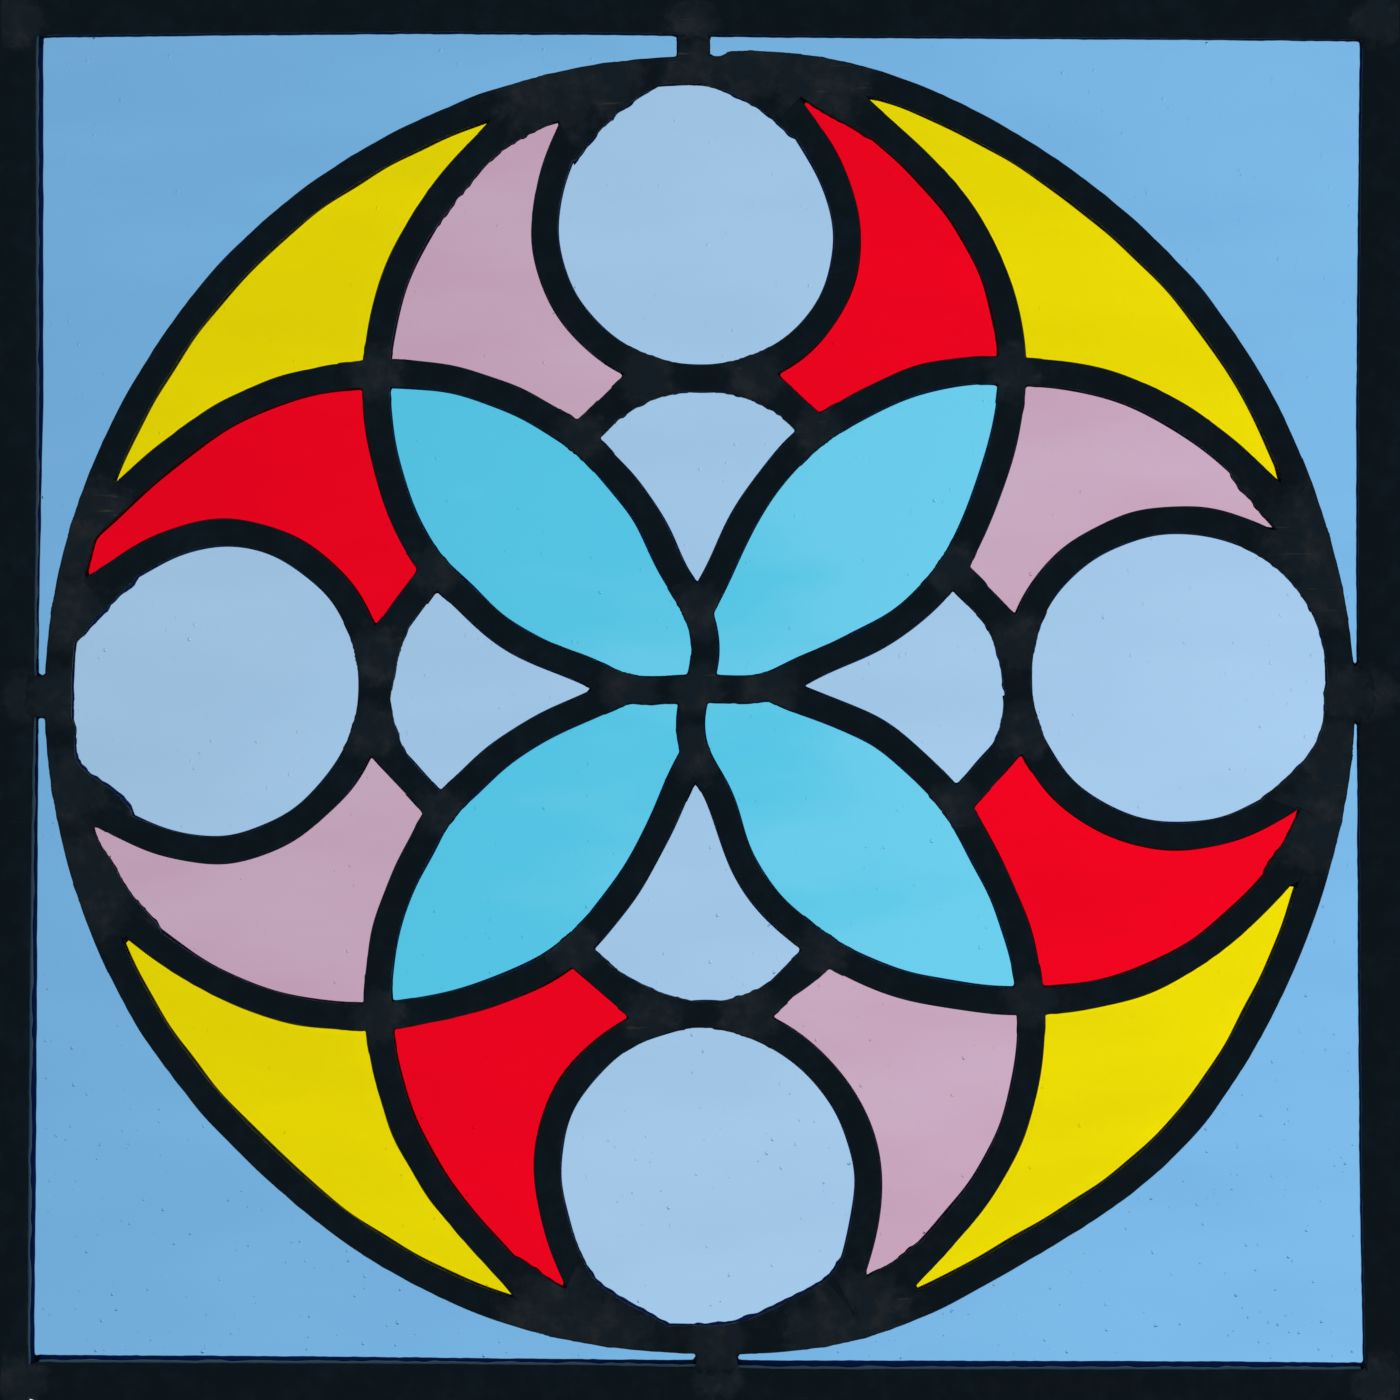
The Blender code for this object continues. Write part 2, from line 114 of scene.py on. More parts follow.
# The rest of the line: the petal's edge, whose third point is the shoulder's joint, and its stem
HALF_LOBE_PETALS = {
    "top_left": ((-67.5, 48.4), (-62.2, 35), (-57.6, 28.4), (-52, 22.9), (-39.6, 12.8), (-25, 6.5), "left"),
    "top_right": ((64, 49.2), (58.7, 35.7), (54.8, 28.6), (49.9, 22.7), (37.7, 13.5), (23.7, 7.2), "right"),
    "right_upper": ((45, 68.8), (32.5, 62.8), (25.7, 58.6), (19.8, 53.2), (10.5, 41.1), (3.6, 27), "top"),
    "right_lower": (
        (48.4, -63), (34.2, -58.2), (26.8, -54), (20.3, -49), (9.4, -35.7), (3.5, -19.8), "bottom"),
    "bottom_right": (
        (66.2, -42.7), (59.7, -29.8), (55.8, -23.2), (50.3, -17), (38.6, -7), (24.2, -0.9), "right"),
    "bottom_left": (
        (-66.9, -45.1), (-60.7, -31.6), (-56.4, -24.4), (-51, -18.6), (-38.8, -8.5), (-24.6, -1.5), "left"),
    "left_lower": (
        (-47.5, -64.5), (-34.5, -59), (-27.7, -54.3), (-21.7, -48.2), (-12.2, -34.6), (-5.1, -19.5),
        "bottom"),
    "left_upper": (
        (-46.5, 67.7), (-33.6, 61.7), (-26.4, 57), (-20.6, 51.4), (-11.5, 39.9), (-4.8, 26.5), "top"),
}
TIP, SHOULDER_JOINT = 3, 6
# The roundels' lines, from one foot on the ring to the other, the feet as angles
ROUNDELS = {
    "top": (98.6, (-30.6, 118), (-33.8, 102), (-26.2, 82.2), (-0.5, 70),
            (25.2, 81.3), (32.1, 101), (23.6, 123.5), 85.4),
    "right": (9.9, (118.5, 36.5), (101.5, 39.1), (76.4, 26.1), (69.2, 4.5),
              (79, -19.3), (105.5, -29.7), (123, -24.7), -5),
    "bottom": (-78.9, (35, -117.5), (36.6, -104.5), (30.6, -86), (1, -68.5),
               (-22.2, -77.5), (-32.7, -96), (-29, -121), -98.2),
    "left": (172.1, (-122, 30.6), (-105, 36.5), (-79.5, 25), (-71.3, 2),
             (-79.5, -19), (-103.5, -32.5), (-121, -29.4), -172.1),
}
# A shoulder came: the half lobe that it starts on, and its foot on the roundel
SHOULDERS = {
    "top_left": ("left_upper", (-11.6, 70.5)),
    "top_right": ("right_upper", (12, 70.5)),
    "right_upper": ("top_right", (69, 13)),
    "right_lower": ("bottom_right", (70, -6.5)),
    "bottom_right": ("right_lower", (11, -68.5)),
    "bottom_left": ("left_lower", (-10.5, -68.5)),
    "left_lower": ("bottom_left", (-71.5, -7)),
    "left_upper": ("top_left", (-70.8, 9.8)),
}
# A tie came's angle on the ring, and its width in metres
TIES = {"top": (90.6, 0.007), "right": (0.6, 0.012), "bottom": (-88.5, 0.009), "left": (179.7, 0.009)}
# How far the border's front and back flanges reach inwards from the panel's edge, each with its place
# from the side's middle, upwards or to the right
FRONT_REACH = {
    "left": ((-145, 6.2), (-87, 6.5), (-44, 6.9), (0, 7.5), (50, 8.1), (145, 8.0)),
    "right": ((-145, 7.7), (-110, 8.4), (-66, 8.8), (22, 9.2), (66, 9.2), (110, 8.8), (145, 8.3)),
    "top": ((-145, 7.9), (-100, 7.4), (-65, 7.1), (-20, 7.3), (20, 7.9), (110, 8.5), (145, 8.8)),
    "bottom": ((-145, 8.4), (-65, 8.1), (-20, 7.7), (20, 6.9), (145, 6.8)),
}
BACK_REACH = {
    "left": ((-145, 7.3), (-87, 7.8), (-44, 8.0), (22, 8.4), (65, 9.3), (145, 9.3)),
    "right": ((-145, 7.9), (-110, 8.6), (-66, 9.0), (22, 9.4), (66, 9.4), (110, 9.0), (145, 8.6)),
    "top": ((-145, 8.1), (-100, 7.6), (-65, 7.3), (-20, 7.5), (20, 8.1), (110, 8.6), (145, 8.9)),
    "bottom": ((-145, 9.7), (-87, 9.4), (-20, 8.7), (20, 8.5), (110, 8.3), (145, 8.0)),
}
# Webs of solder that fill the narrow corners of the roundels and the bells and the tips of the pink and
# the red panes: the glass's edge along each
WEBS = {
    "roundel_top": (((-10, 133.2), (-19, 127), (-27, 117)), ((1, 134), (11, 130), (20.5, 122))),
    "roundel_right": (((118, 33.5), (127.4, 27.2), (131.8, 21.8), (136, 11)),
                      ((136, 1), (134, -9.8), (128.5, -16.3), (121, -22.5))),
    "roundel_bottom": (((-28.2, -115), (-21.8, -127.4), (-13.1, -132.9), (-6, -136.8)),
                       ((32.5, -119), (27.2, -126.4), (19.6, -130.7), (8.7, -135.3), (-2, -136.2)),
                       ((18.5, -132.6), (24, -132), (29, -129.5))),
    "roundel_left": (((-122, 27), (-129, 20.5), (-135, 13.5)),
                     ((-136, -7), (-135.1, -14.2), (-129.6, -18.5), (-123, -25))),
    "bell_top": (((-22.5, 57), (-17.4, 61.4), (-12.4, 64.5), (-1, 67.2)),
                 ((3.5, 67.2), (13.1, 64.5), (22, 58))),
    "bell_right": (((55, 25.5), (62.3, 16.3), (65.4, 7.6), (66.2, 1)),
                   ((66.2, -1), (63.5, -10.5), (57, -18))),
    "bell_bottom": (((-23.5, -54.3), (-16.3, -59.9), (-12, -62.3), (-2, -65.6)),
                    ((5, -65.6), (15.3, -61.7), (25, -54.5))),
    "bell_left": (((-57.3, 24.3), (-63.6, 15.5), (-66.4, 6.5), (-67.3, 1)),
                  ((-67.3, -1), (-65.4, -8.7), (-56.3, -20.5))),
    "pink_top": (((-60.3, 98.9), (-56.9, 103.6), (-50, 112.6), (-45.5, 117.6), (-39.9, 121.8),
                  (-34.6, 124.6), (-28.1, 127), (-24.8, 128.2)),),
    "red_top": (((37.8, 121.6), (34.2, 124), (29.3, 126.7), (25, 129.2), (21.4, 131.5), (17.7, 133.1),
                 (14.5, 134.4)),),
    "pink_right": (((115, 49.1), (121.3, 41.8), (127.3, 34.7), (129.6, 32)),),
    "red_right": (((122.3, -38.1), (124.8, -34.2), (127.3, -30.7), (129.4, -26.4), (131.6, -22.1),
                   (133.1, -19)),),
    "pink_bottom": (((48.7, -117), (44.4, -120.6), (40.9, -123.2), (37.9, -124.6), (34.4, -126.7),
                     (31, -128.5)),),
    "red_bottom": (((-38.1, -122.2), (-31.5, -126.9), (-27.2, -129.4), (-25, -130.7)),),
    "pink_left": (((-133.1, -24), (-132.3, -27), (-130.9, -31.1), (-128, -35.4), (-125.5, -40),
                   (-121.3, -45.3), (-116.9, -49.8)),),
}
WEB_WIDTH = 5.0 * MM
WEB_ROUNDING = 0.6 * MM
WEB_STRAY = 0.07 * MM
WEB_TUCK = 0.6 * MM
WEB_THINNESS = 0.75
# How much further the webs reach on the back, seen through the roundels, and how far their edges stray
WEB_SET_OUT = {"roundel_left": 0.5 * MM, "roundel_bottom": 0.55 * MM, "roundel_top": 0.25 * MM}
BACK_WEB_STRAY = 0.16 * MM
WEB_WAVES = (2 * MM, 14 * MM)
# A point inside each pane that has webs, to tell on which side of them it lies
PANE_MIDDLES = {
    "roundel_top": (-0.5, 103), "roundel_right": (104, 3), "roundel_bottom": (1, -104),
    "roundel_left": (-104, 2), "bell_top": (0, 50), "bell_right": (50, 3), "bell_bottom": (1, -48),
    "bell_left": (-50, 2), "pink_top": (-48, 96), "pink_right": (86, 51), "pink_bottom": (50, -95),
    "pink_left": (-96, -41), "red_top": (44, 99), "red_right": (95, -44), "red_bottom": (-44, -94),
}

# The solder pools' edges and relief. A border's flange counts as two bands of lead, each twice this wide
HALF_BAND = 3.0 * MM
FILLET = 0.2 * MM
LAP = 0.05 * MM
POOL_RAGGEDNESS = 0.14
POOL_ROUNDING = 0.8 * MM
POOL_FLOOR = 2.3 * MM
POOL_LIP = 0.35 * MM
POOL_EASE = 0.06 * MM
POOL_TRIES = 49
EDGE_DROP = 0.3 * MM
LUMP = 0.05 * MM
LUMP_LENGTHS = (3.1 * MM, 4.3 * MM, 6.7 * MM)
BORDER_RISE = 1.2 * MM
# A pool's reach and height at each kind of joint, in millimetres
POOLS = {
    "corner": (8, 0.08), "tie_end": (8, 0.08), "tie": (9, 0.22), "seam": (8, 0.24), "lobe": (17, 0.28),
    "roundel": (12, 0.28), "tip": (8.5, 0.28), "shoulder": (8, 0.26), "shoulder_foot": (9, 0.26),
    "stem": (9, 0.22), "middle": (8, 0.28),
}
BORDER_JOINT_INSET = 6
CORNER_JOINT = 148

# How far the putty stands out beside the leads, and how far its edges stray
PUTTY_PROUD = 0.02 * MM
PUTTY_STRAY = 0.04 * MM
BACK_PUTTY_SHORT = 0.4 * MM
# The strip at two borders that carries a painted highlight: how far it stands out, how far its edge strays,
# and the sides
GLINT_STRIP_PROUD = 0.5 * MM
GLINT_STRIP_STRAY = 0.13 * MM
GLINT_STRIP_SIDES = ("left", "bottom")
PUTTY_WAVES = (3 * MM, 20 * MM)
PUTTY_FROM_HEART = 0.2 * MM
PUTTY_BEVEL = 0.2 * MM
PUTTY_LAP = 0.1 * MM

# How the sky behind the panel and the room in front of it light it
SKY_BEHIND = (0.965, 0.985, 1.015)
ROOM_IN_FRONT = (0.31, 0.33, 0.35)
SKY_EDGES = (-0.35, 0.75)
SKY_DRIFT = 0.33
SKY_LEAN = -0.35
WINDOW_PLACE = (-1.1, -0.9, 1.3)
WINDOW_SIZE = (0.9, 0.6)
WINDOW_POWER = 3
FLOOR_REACH, FLOOR_DROP = 1.8, 0.34
FLOOR_GREY = (0.72, 0.72, 0.70)
LENS, SENSOR = 200.0, 36.0

# Colours in linear light
LEAD_GREY = (0.0025, 0.0125, 0.0205)
LEAD_PALE = (0.012, 0.027, 0.040)
SOLDER_GREY = (0.0125, 0.026, 0.038)
SOLDER_PALE = (0.044, 0.052, 0.056)
SCRATCHED = (0.16, 0.13, 0.09)
# Painted light: a bright blue on the leads' faces towards the glass, a glow that stands in for the sky light
# reaching them through the glass
UNDERSIDE_PAINTED_GLOW = (0.07, 0.13, 0.46)
PUTTY_GREY = (0.006, 0.009, 0.010)
# Painted highlight: the pale blue of the strip along two borders' flange edges, a line of light along them
PAINTED_HIGHLIGHT = (0.08, 0.17, 0.25)
GLASS_COLOURS = {
    "sky_blue": (0.188, 0.452, 0.735),
    "pale_blue": (0.370, 0.568, 0.775),
    "turquoise": (0.122, 0.585, 0.790),
    "yellow": (0.825, 0.685, 0.0002),
    "pink": (0.575, 0.377, 0.492),
    "red": (0.86, 0.0001, 0.012),
}
# How much deeper and paler each glass is in its streaks, and how much it pales to the right, a metre
STREAKS = {
    "sky_blue": (0.04, 0.03, 0.02), "pale_blue": (0.03, 0.025, 0.02), "turquoise": (0.22, 0.035, 0.02),
    "yellow": (0.03, 0.03, 0.0), "pink": (0.02, 0.06, 0.05), "red": (0.03, 0.0, 0.03),
}
LEANS = {"sky_blue": 0.6, "turquoise": 5.0}
# How many bubbles a pane of each kind holds, and the kind of glass that it is
PANE_GLASS = {
    "corner": "sky_blue", "roundel": "pale_blue", "bell": "pale_blue", "petal": "turquoise",
    "yellow": "yellow", "pink": "pink", "red": "red",
}
BUBBLES = {"corner": 150, "roundel": 70, "bell": 20, "petal": 40, "yellow": 16, "pink": 26, "red": 6}
BUBBLE_ROOM = 0.5 * MM
# A bubble's least half length and how much longer it can be, in millimetres, its width as a share of that
# and its thickness as a share of the width, its turn and the turn's spread, and how far it lies off the
# middle of the glass
BUBBLE_LENGTH, BUBBLE_SPREAD = 0.14, 0.30
BUBBLE_WIDTHS = (0.55, 0.95)
BUBBLE_THICKNESSES = (0.14, 0.30)
BUBBLE_TURN = (1.2, 0.6)
BUBBLE_DEPTH = 0.9
GLASS_IOR = 1.5


def evenly_spaced(line, facet):
    """The line again, as a whole number of facets of equal length, each about as long as asked."""
    along = np.concatenate([[0], np.cumsum(np.hypot(*np.diff(line, axis=0).T))])
    places = np.linspace(0, along[-1], max(2, round(along[-1] / facet)) + 1)
    return np.column_stack([np.interp(places, along, line[:, axis]) for axis in (0, 1)])


def smooth_line(points, facet, steps=40):
    """One cubic curve through the points, with the chords as its parameter and its curvature run on
    at each end. It is found at that many steps a chord, then made into facets."""
    p = np.array(points, float)
    count = len(p)
    chords = np.hypot(*np.diff(p, axis=0).T)
    matrix = np.zeros((count, count))
    slopes = np.zeros((count, 2))
    for i in range(1, count - 1):
        matrix[i, i - 1 : i + 2] = chords[i - 1], 2 * (chords[i - 1] + chords[i]), chords[i]
        slopes[i] = 6 * ((p[i + 1] - p[i]) / chords[i] - (p[i] - p[i - 1]) / chords[i - 1])
    matrix[0, :2] = 1, -1
    matrix[-1, -2:] = -1, 1
    bends = np.linalg.solve(matrix, slopes)
    pieces = []
    for i, chord in enumerate(chords):
        after = np.linspace(0, chord, steps, endpoint=i == count - 2)[:, None]
        before = chord - after
        cubic = (bends[i] * before**3 + bends[i + 1] * after**3) / (6 * chord)
        straight = (p[i] / chord - bends[i] * chord / 6) * before
        straight += (p[i + 1] / chord - bends[i + 1] * chord / 6) * after
        pieces.append(cubic + straight)
    return evenly_spaced(np.concatenate(pieces), facet)


def polar(angle, radius):
    turn = math.radians(angle)
    return radius * math.cos(turn), radius * math.sin(turn)


def ring_foot(angle):
    """The point of the drawn ring at an angle in degrees."""
    line = smooth_line([polar(*station) for station in RING], facet=1)
    angles = np.degrees(np.unwrap(np.arctan2(line[:, 1], line[:, 0])))
    angle = angles[0] + (angle - angles[0]) % 360
    return polar(angle, np.interp(angle, angles, np.hypot(*line.T)))


def drawn(*points):
    """Points of the drawing as an array in metres. A lone number is a foot on the ring at that angle."""
    spots = [p if isinstance(p, tuple) else ring_foot(p) for p in points]
    return np.array(spots, float) * MM


def half_lobe(name, first=0, last=None):
    """The drawn points of half a lobe from its ring foot to the middle, or a stretch of them."""
    *outer, tip = HALF_LOBE_FEET[name]
    *petal, stem = HALF_LOBE_PETALS[name]
    return [*outer, TIPS[tip], *petal, STEMS[stem], MIDDLE][first:last]


def nearest(line, point):
    """The place on a line of facets that is nearest to a point."""
    starts, runs = line[:-1], np.diff(line, axis=0)
    shares = np.clip(np.sum((point - starts) * runs, axis=1) / np.sum(runs**2, axis=1), 0, 1)
    places = starts + shares[:, None] * runs
    return places[np.argmin(np.hypot(*(places - point).T))]


def distances(points, line):
    """How far each point lies from a line of facets."""
    starts, runs = line[:-1], np.diff(line, axis=0)
    offsets = points[:, None] - starts
    shares = np.clip(np.sum(offsets * runs, axis=2) / np.sum(runs**2, axis=1), 0, 1)
    return np.hypot(*np.moveaxis(offsets - shares[..., None] * runs, 2, 0)).min(axis=1)


def wander(line, seed, reach, shortest=2 * MM, longest=50 * MM, waves=18):
    """How far a hand bent edge strays along a line: sines of random length and phase, added up."""
    along = np.concatenate([[0], np.cumsum(np.hypot(*np.diff(line, axis=0).T))])
    rng = np.random.default_rng(seed)
    lengths = np.exp(rng.uniform(math.log(shortest), math.log(longest), waves))
    phases = rng.uniform(0, 2 * math.pi, waves)
    return reach / math.sqrt(waves) * np.sin(2 * math.pi * along[:, None] / lengths + phases).sum(axis=1)


def ragged(angles, seed, reach, most_turns, waves=6):
    """A closed wave round a joint: sines of whole numbers of turns, added up."""
    rng = np.random.default_rng(seed)
    turns = rng.integers(1, most_turns, waves)
    phases = rng.uniform(0, 2 * math.pi, waves)
    return reach / math.sqrt(waves) * np.sin(np.multiply.outer(angles, turns) + phases).sum(axis=-1)


def lumps(flat, seed):
    """Soft lumps from -1 to 1: for each length, two crossed sines of the place."""
    rng = np.random.default_rng(seed)
    total = 0
    for length in LUMP_LENGTHS:
        turn, first, second = rng.uniform(0, 2 * math.pi, 3)
        x, y = flat.T * 2 * math.pi / length
        across = x * math.cos(turn) + y * math.sin(turn)
        along = y * math.cos(turn) - x * math.sin(turn)
        total = total + np.sin(across + first) * np.sin(along + second)
    return total / len(LUMP_LENGTHS)


def seed_of(name):
    """A number of its own for each name, to start its random shape with."""
    return sum(place * ord(letter) for place, letter in enumerate(name, 1))


def upright(flat):
    """Points (x, y, height to the front) of the drawing, in the frame."""
    return np.column_stack([flat[:, 0], -flat[:, 2], flat[:, 1] + HALF_SIDE])


def facing_out(points, faces):
    """The faces, all turned round if the fans of triangles that they make enclose a negative volume."""
    fans = np.array([(face[0], *pair) for face in faces for pair in zip(face[1:], face[2:])])
    volume = np.linalg.det(points[fans]).sum()
    return faces if volume > 0 else [tuple(reversed(face)) for face in faces]


def joined(name, parts):
    """One mesh of several closed parts, each given as its points and its faces."""
    starts = np.cumsum([0] + [len(points) for points, _ in parts]).tolist()
    faces = [[i + start for i in face] for (_, part), start in zip(parts, starts) for face in part]
    mesh = bpy.data.meshes.new(name)
    mesh.from_pydata(np.concatenate([points for points, _ in parts]).tolist(), [], faces)
    mesh.update()
    return mesh


def gathered(items, attribute, width=0, kind=np.float32):
    """One attribute of every item of a mesh, as a list or as rows of a width."""
    values = np.empty(len(items) * max(width, 1), kind)
    items.foreach_get(attribute, values)
    return values.reshape(-1, width) if width else values


def placed(name, data):
    """A new object in the scene."""
    obj = bpy.data.objects.new(name, data)
    bpy.context.scene.collection.objects.link(obj)
    return obj


def second_material(mesh, material, marks):
    """Gives the marked faces of a mesh another material."""
    mesh.materials.append(material)
    mesh.polygons.foreach_set("material_index", np.array(marks, np.int32))


def grid_faces(rows, columns, close_rows, close_columns):
    """Quads between neighbours on a grid of points numbered row by row."""
    r = np.arange(rows if close_rows else rows - 1)[:, None]
    c = np.arange(columns if close_columns else columns - 1)[None, :]
    r2, c2 = (r + 1) % rows, (c + 1) % columns
    quads = np.stack(np.broadcast_arrays(
        r * columns + c, r * columns + c2, r2 * columns + c2, r2 * columns + c), axis=-1)
    return quads.reshape(-1, 4).tolist()


def sides_of(line, closed=False):
    """The unit normal to the left of the line at each of its points."""
    if closed:
        runs = np.roll(line, -1, axis=0) - np.roll(line, 1, axis=0)
    else:
        runs = np.gradient(line, axis=0)
    runs /= np.hypot(*runs.T)[:, None]
    return np.column_stack([-runs[:, 1], runs[:, 0]])


def sweep(line, profile, strays=None, heart=HEART / 2, closed=False):
    """A profile carried along a line, back to its start or with a cap at each end: each point is the
    line's, plus the side normal times the profile's across, at the profile's height. A stray is how much
    further out a flange reaches along the line, by its side and its face as signs: its edge moves by all
    of it and the heart by none."""
    across, height = np.array(profile).T
    spread = across + np.zeros((len(line), 1))
    for (side, face), stray in (strays or {}).items():
        share = np.clip((side * across - heart) / ((side * across).max() - heart), 0, 1)
        spread = spread + side * np.multiply.outer(stray, share * (face * height > 0))
    flat = line[:, None] + sides_of(line, closed)[:, None] * spread[..., None]
    points = upright(np.dstack([flat, np.broadcast_to(height, spread.shape)]).reshape(-1, 3))
    rows, columns = spread.shape
    faces = grid_faces(rows, columns, closed, True)
    if not closed:
        faces += [tuple(range(columns))[::-1], tuple(range((rows - 1) * columns, rows * columns))]
    return points, facing_out(points, faces)


def quarter(across, height, radius, steps=3):
    """The points of a quarter circle from its side to its top, round a corner at across and height."""
    turns = np.linspace(0, math.pi / 2, steps + 1)
    return [(across - radius + radius * math.cos(t), height - radius + radius * math.sin(t)) for t in turns]


def section_h(width):
    """An H section: each flange has rounded corners and a face that is a low arch."""
    reach, heart, under, depth = width / 2, HEART / 2, CHANNEL / 2, INNER_DEPTH / 2
    right = quarter(reach, depth, FLANGE_ROUNDING)
    face = [(x, depth + FLANGE_CROWN * (1 - (x / reach) ** 2))
            for x in reach * np.array([0.6, 0.2, -0.2, -0.6])]
    left = [(-x, y) for x, y in reversed(right)]
    front = [(heart, under), (reach, under), *right, *face, *left, (-reach, under), (-heart, under)]
    return front + [(-x, -y) for x, y in front]


def paint_glow_inside(mesh, painted_glow_material, height=CHANNEL / 2):
    """Gives the faces towards the glass, which lie at a height, a material of painted light: a blue glow that
    stands in for the sky light reaching them through the glass.
    """
    depths = np.abs(gathered(mesh.polygons, "center", 3)[:, 1])
    second_material(mesh, painted_glow_material, np.abs(depths - height) < SEAT)


def section_u():
    """A U section that opens towards +x, with its web's outer face at 0."""
    under, depth = CHANNEL / 2, BORDER_FACE / 2
    inner = quarter(BORDER_WIDTH, depth, FLANGE_ROUNDING)
    outer = [(-x, y) for x, y in reversed(quarter(0, depth, EDGE_ROUNDING))]
    front = [(BORDER_WEB, under), (BORDER_WIDTH, under), *inner, (BORDER_WIDTH / 2, depth), *outer]
    return front + [(x, -y) for x, y in reversed(front)]


def section_web(face, top):
    """A low bar of solder on the glass, rounded towards +x, on the front or the back as a sign."""
    half, floor = WEB_WIDTH / 2, GLASS / 2 + SEAT
    bar = [(-half, floor), (half, floor), *quarter(half, top, WEB_ROUNDING, 4), (-half, top)]
    return [(x, face * y) for x, y in bar]


def section_bar(width, height):
    x, y = width / 2, height / 2
    return [(-x, -y), (x, -y), (x, y), (-x, y)]


def cut(mesh, tools):
    """The mesh after each closed tool in turn is cut from it."""
    body = placed("body", mesh)
    helpers = [placed("cutter", tool) for tool in tools]
    for helper in helpers:
        modifier = body.modifiers.new("cut", "BOOLEAN")
        modifier.operation = "DIFFERENCE"
        modifier.solver = "MANIFOLD"
        modifier.object = helper
    graph = bpy.context.evaluated_depsgraph_get()
    result = bpy.data.meshes.new_from_object(body.evaluated_get(graph))
    for helper in [body, *helpers]:
        bpy.data.objects.remove(helper)
    return result


def longest_part(mesh):
    """The loose part with the most points, so that a cut's offcuts fall away. Each edge's two ends take
    the lower of their labels, over and over, until the points of a part share one label."""
    count = len(mesh.vertices)
    ends = gathered(mesh.edges, "vertices", 2, np.int32)
    label, before = np.arange(count), None
    while not np.array_equal(before, label):
        before = label.copy()
        lowest = label[ends].min(axis=1)
        np.minimum.at(label, ends.ravel(), np.repeat(lowest, 2))
        label = label[label]
    kept = label == np.bincount(label).argmax()
    corners = gathered(mesh.loops, "vertex_index", kind=np.int32)
    starts = gathered(mesh.polygons, "loop_start", kind=np.int32)
    stops = np.append(starts[1:], len(corners))
    whole = kept[corners[starts]]
    corners = (np.cumsum(kept) - 1)[corners].tolist()
    faces = [corners[start:stop] for start, stop in zip(starts[whole].tolist(), stops[whole].tolist())]
    return joined(mesh.name, [(gathered(mesh.vertices, "co", 3)[kept], faces)])


def piece(name, mesh, material, slot, *nodes, smooth_below=40):
    """A finished piece of the panel, which stands for the named CAD nodes."""
    obj = placed(name, mesh)
    mesh.materials.clear()
    mesh.materials.append(material)
    mesh.polygons.foreach_set("use_smooth", [True] * len(mesh.polygons))
    mesh.set_sharp_from_angle(angle=math.radians(smooth_below))
    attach(obj, "root")
    if nodes:
        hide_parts(*nodes)
    return obj


class Came:
    """A length of lead: the node it stands for, its middle line, its width and its mesh. Its front
    flanges are a little narrower than its back ones, which show through the glass along its edges."""

    def __init__(self, node, line, width=CAME_WIDTH, ring=False):
        self.node, self.line, self.width, self.ring = node, line, width, ring
        seed = seed_of(node)
        strays = {}
        for side in (1, -1):
            strays[side, 1] = wander(line, seed + side + 2, EDGE_STRAY) - FRONT_SET_BACK
            strays[side, -1] = wander(line, seed + side + 5, BACK_STRAY, *BACK_WAVES) + BACK_SET_OUT
        self.mesh = joined(node, [sweep(line, section_h(width), strays)])

    def clearance_bar(self):
        """A bar as wide as the came and its butt gaps. The ring's runs on across the seam."""
        bar = section_bar(self.width + 2 * BUTT_GAP, 2 * INNER_DEPTH)
        return joined("bar", [sweep(self.line, bar, closed=self.ring)])

    def butt_against(self, others):
        """Cuts this came where it meets the others, and keeps its longest piece."""
        self.mesh = longest_part(cut(self.mesh, [other.clearance_bar() for other in others]))


def lobe_cames(ring):
    """The lobes' cames. The top lobe runs through; what crosses it or the bottom lobe is cut there."""
    tip_end, joint = TIP + 1, TIP
    line = smooth_line(drawn(*half_lobe("top_left"), *half_lobe("top_right")[-2::-1]), STEP)
    top = Came("lobe_came_top", line)
    top.butt_against([ring])
    cames = [top]

    def add(node, half, first, last, others):
        came = Came(node, smooth_line(drawn(*half_lobe(half, first, last)), STEP))
        came.butt_against(others)
        cames.append(came)
        return came

    bottom = {side: add(f"lobe_came_bottom_{side}", f"bottom_{side}", 0, -1, [ring, top])
              for side in ("left", "right")}
    for side in ("left", "right"):
        add(f"lobe_came_{side}_upper_outer", f"{side}_upper", 0, tip_end, [ring, top])
        add(f"lobe_came_{side}_lower_outer", f"{side}_lower", 0, tip_end, [ring, bottom[side]])
    through = add("lobe_came_left_upper_inner", "left_upper", joint, None, [top])
    add("lobe_came_right_upper_inner", "right_upper", joint, -1, [top, through])
    through = add("lobe_came_right_lower_inner", "right_lower", joint, None, [top, bottom["right"]])
    add("lobe_came_left_lower_inner", "left_lower", joint, -1, [bottom["left"], through])
    return cames


def roundel_cames(ring, lobes):
    """C shaped cames, cut to the ring and to the outer lobe cames beside their feet."""
    by_node = {came.node: came for came in lobes}
    cames = []
    for side, points in ROUNDELS.items():
        if side == "top":
            beside = ["lobe_came_top"]
        elif side == "bottom":
            beside = ["lobe_came_bottom_right", "lobe_came_bottom_left"]
        else:
            beside = [f"lobe_came_{side}_upper_outer", f"lobe_came_{side}_lower_outer"]
        came = Came(f"roundel_came_{side}", smooth_line(drawn(*points), STEP))
        came.butt_against([ring] + [by_node[name] for name in beside])
        cames.append(came)
    return cames


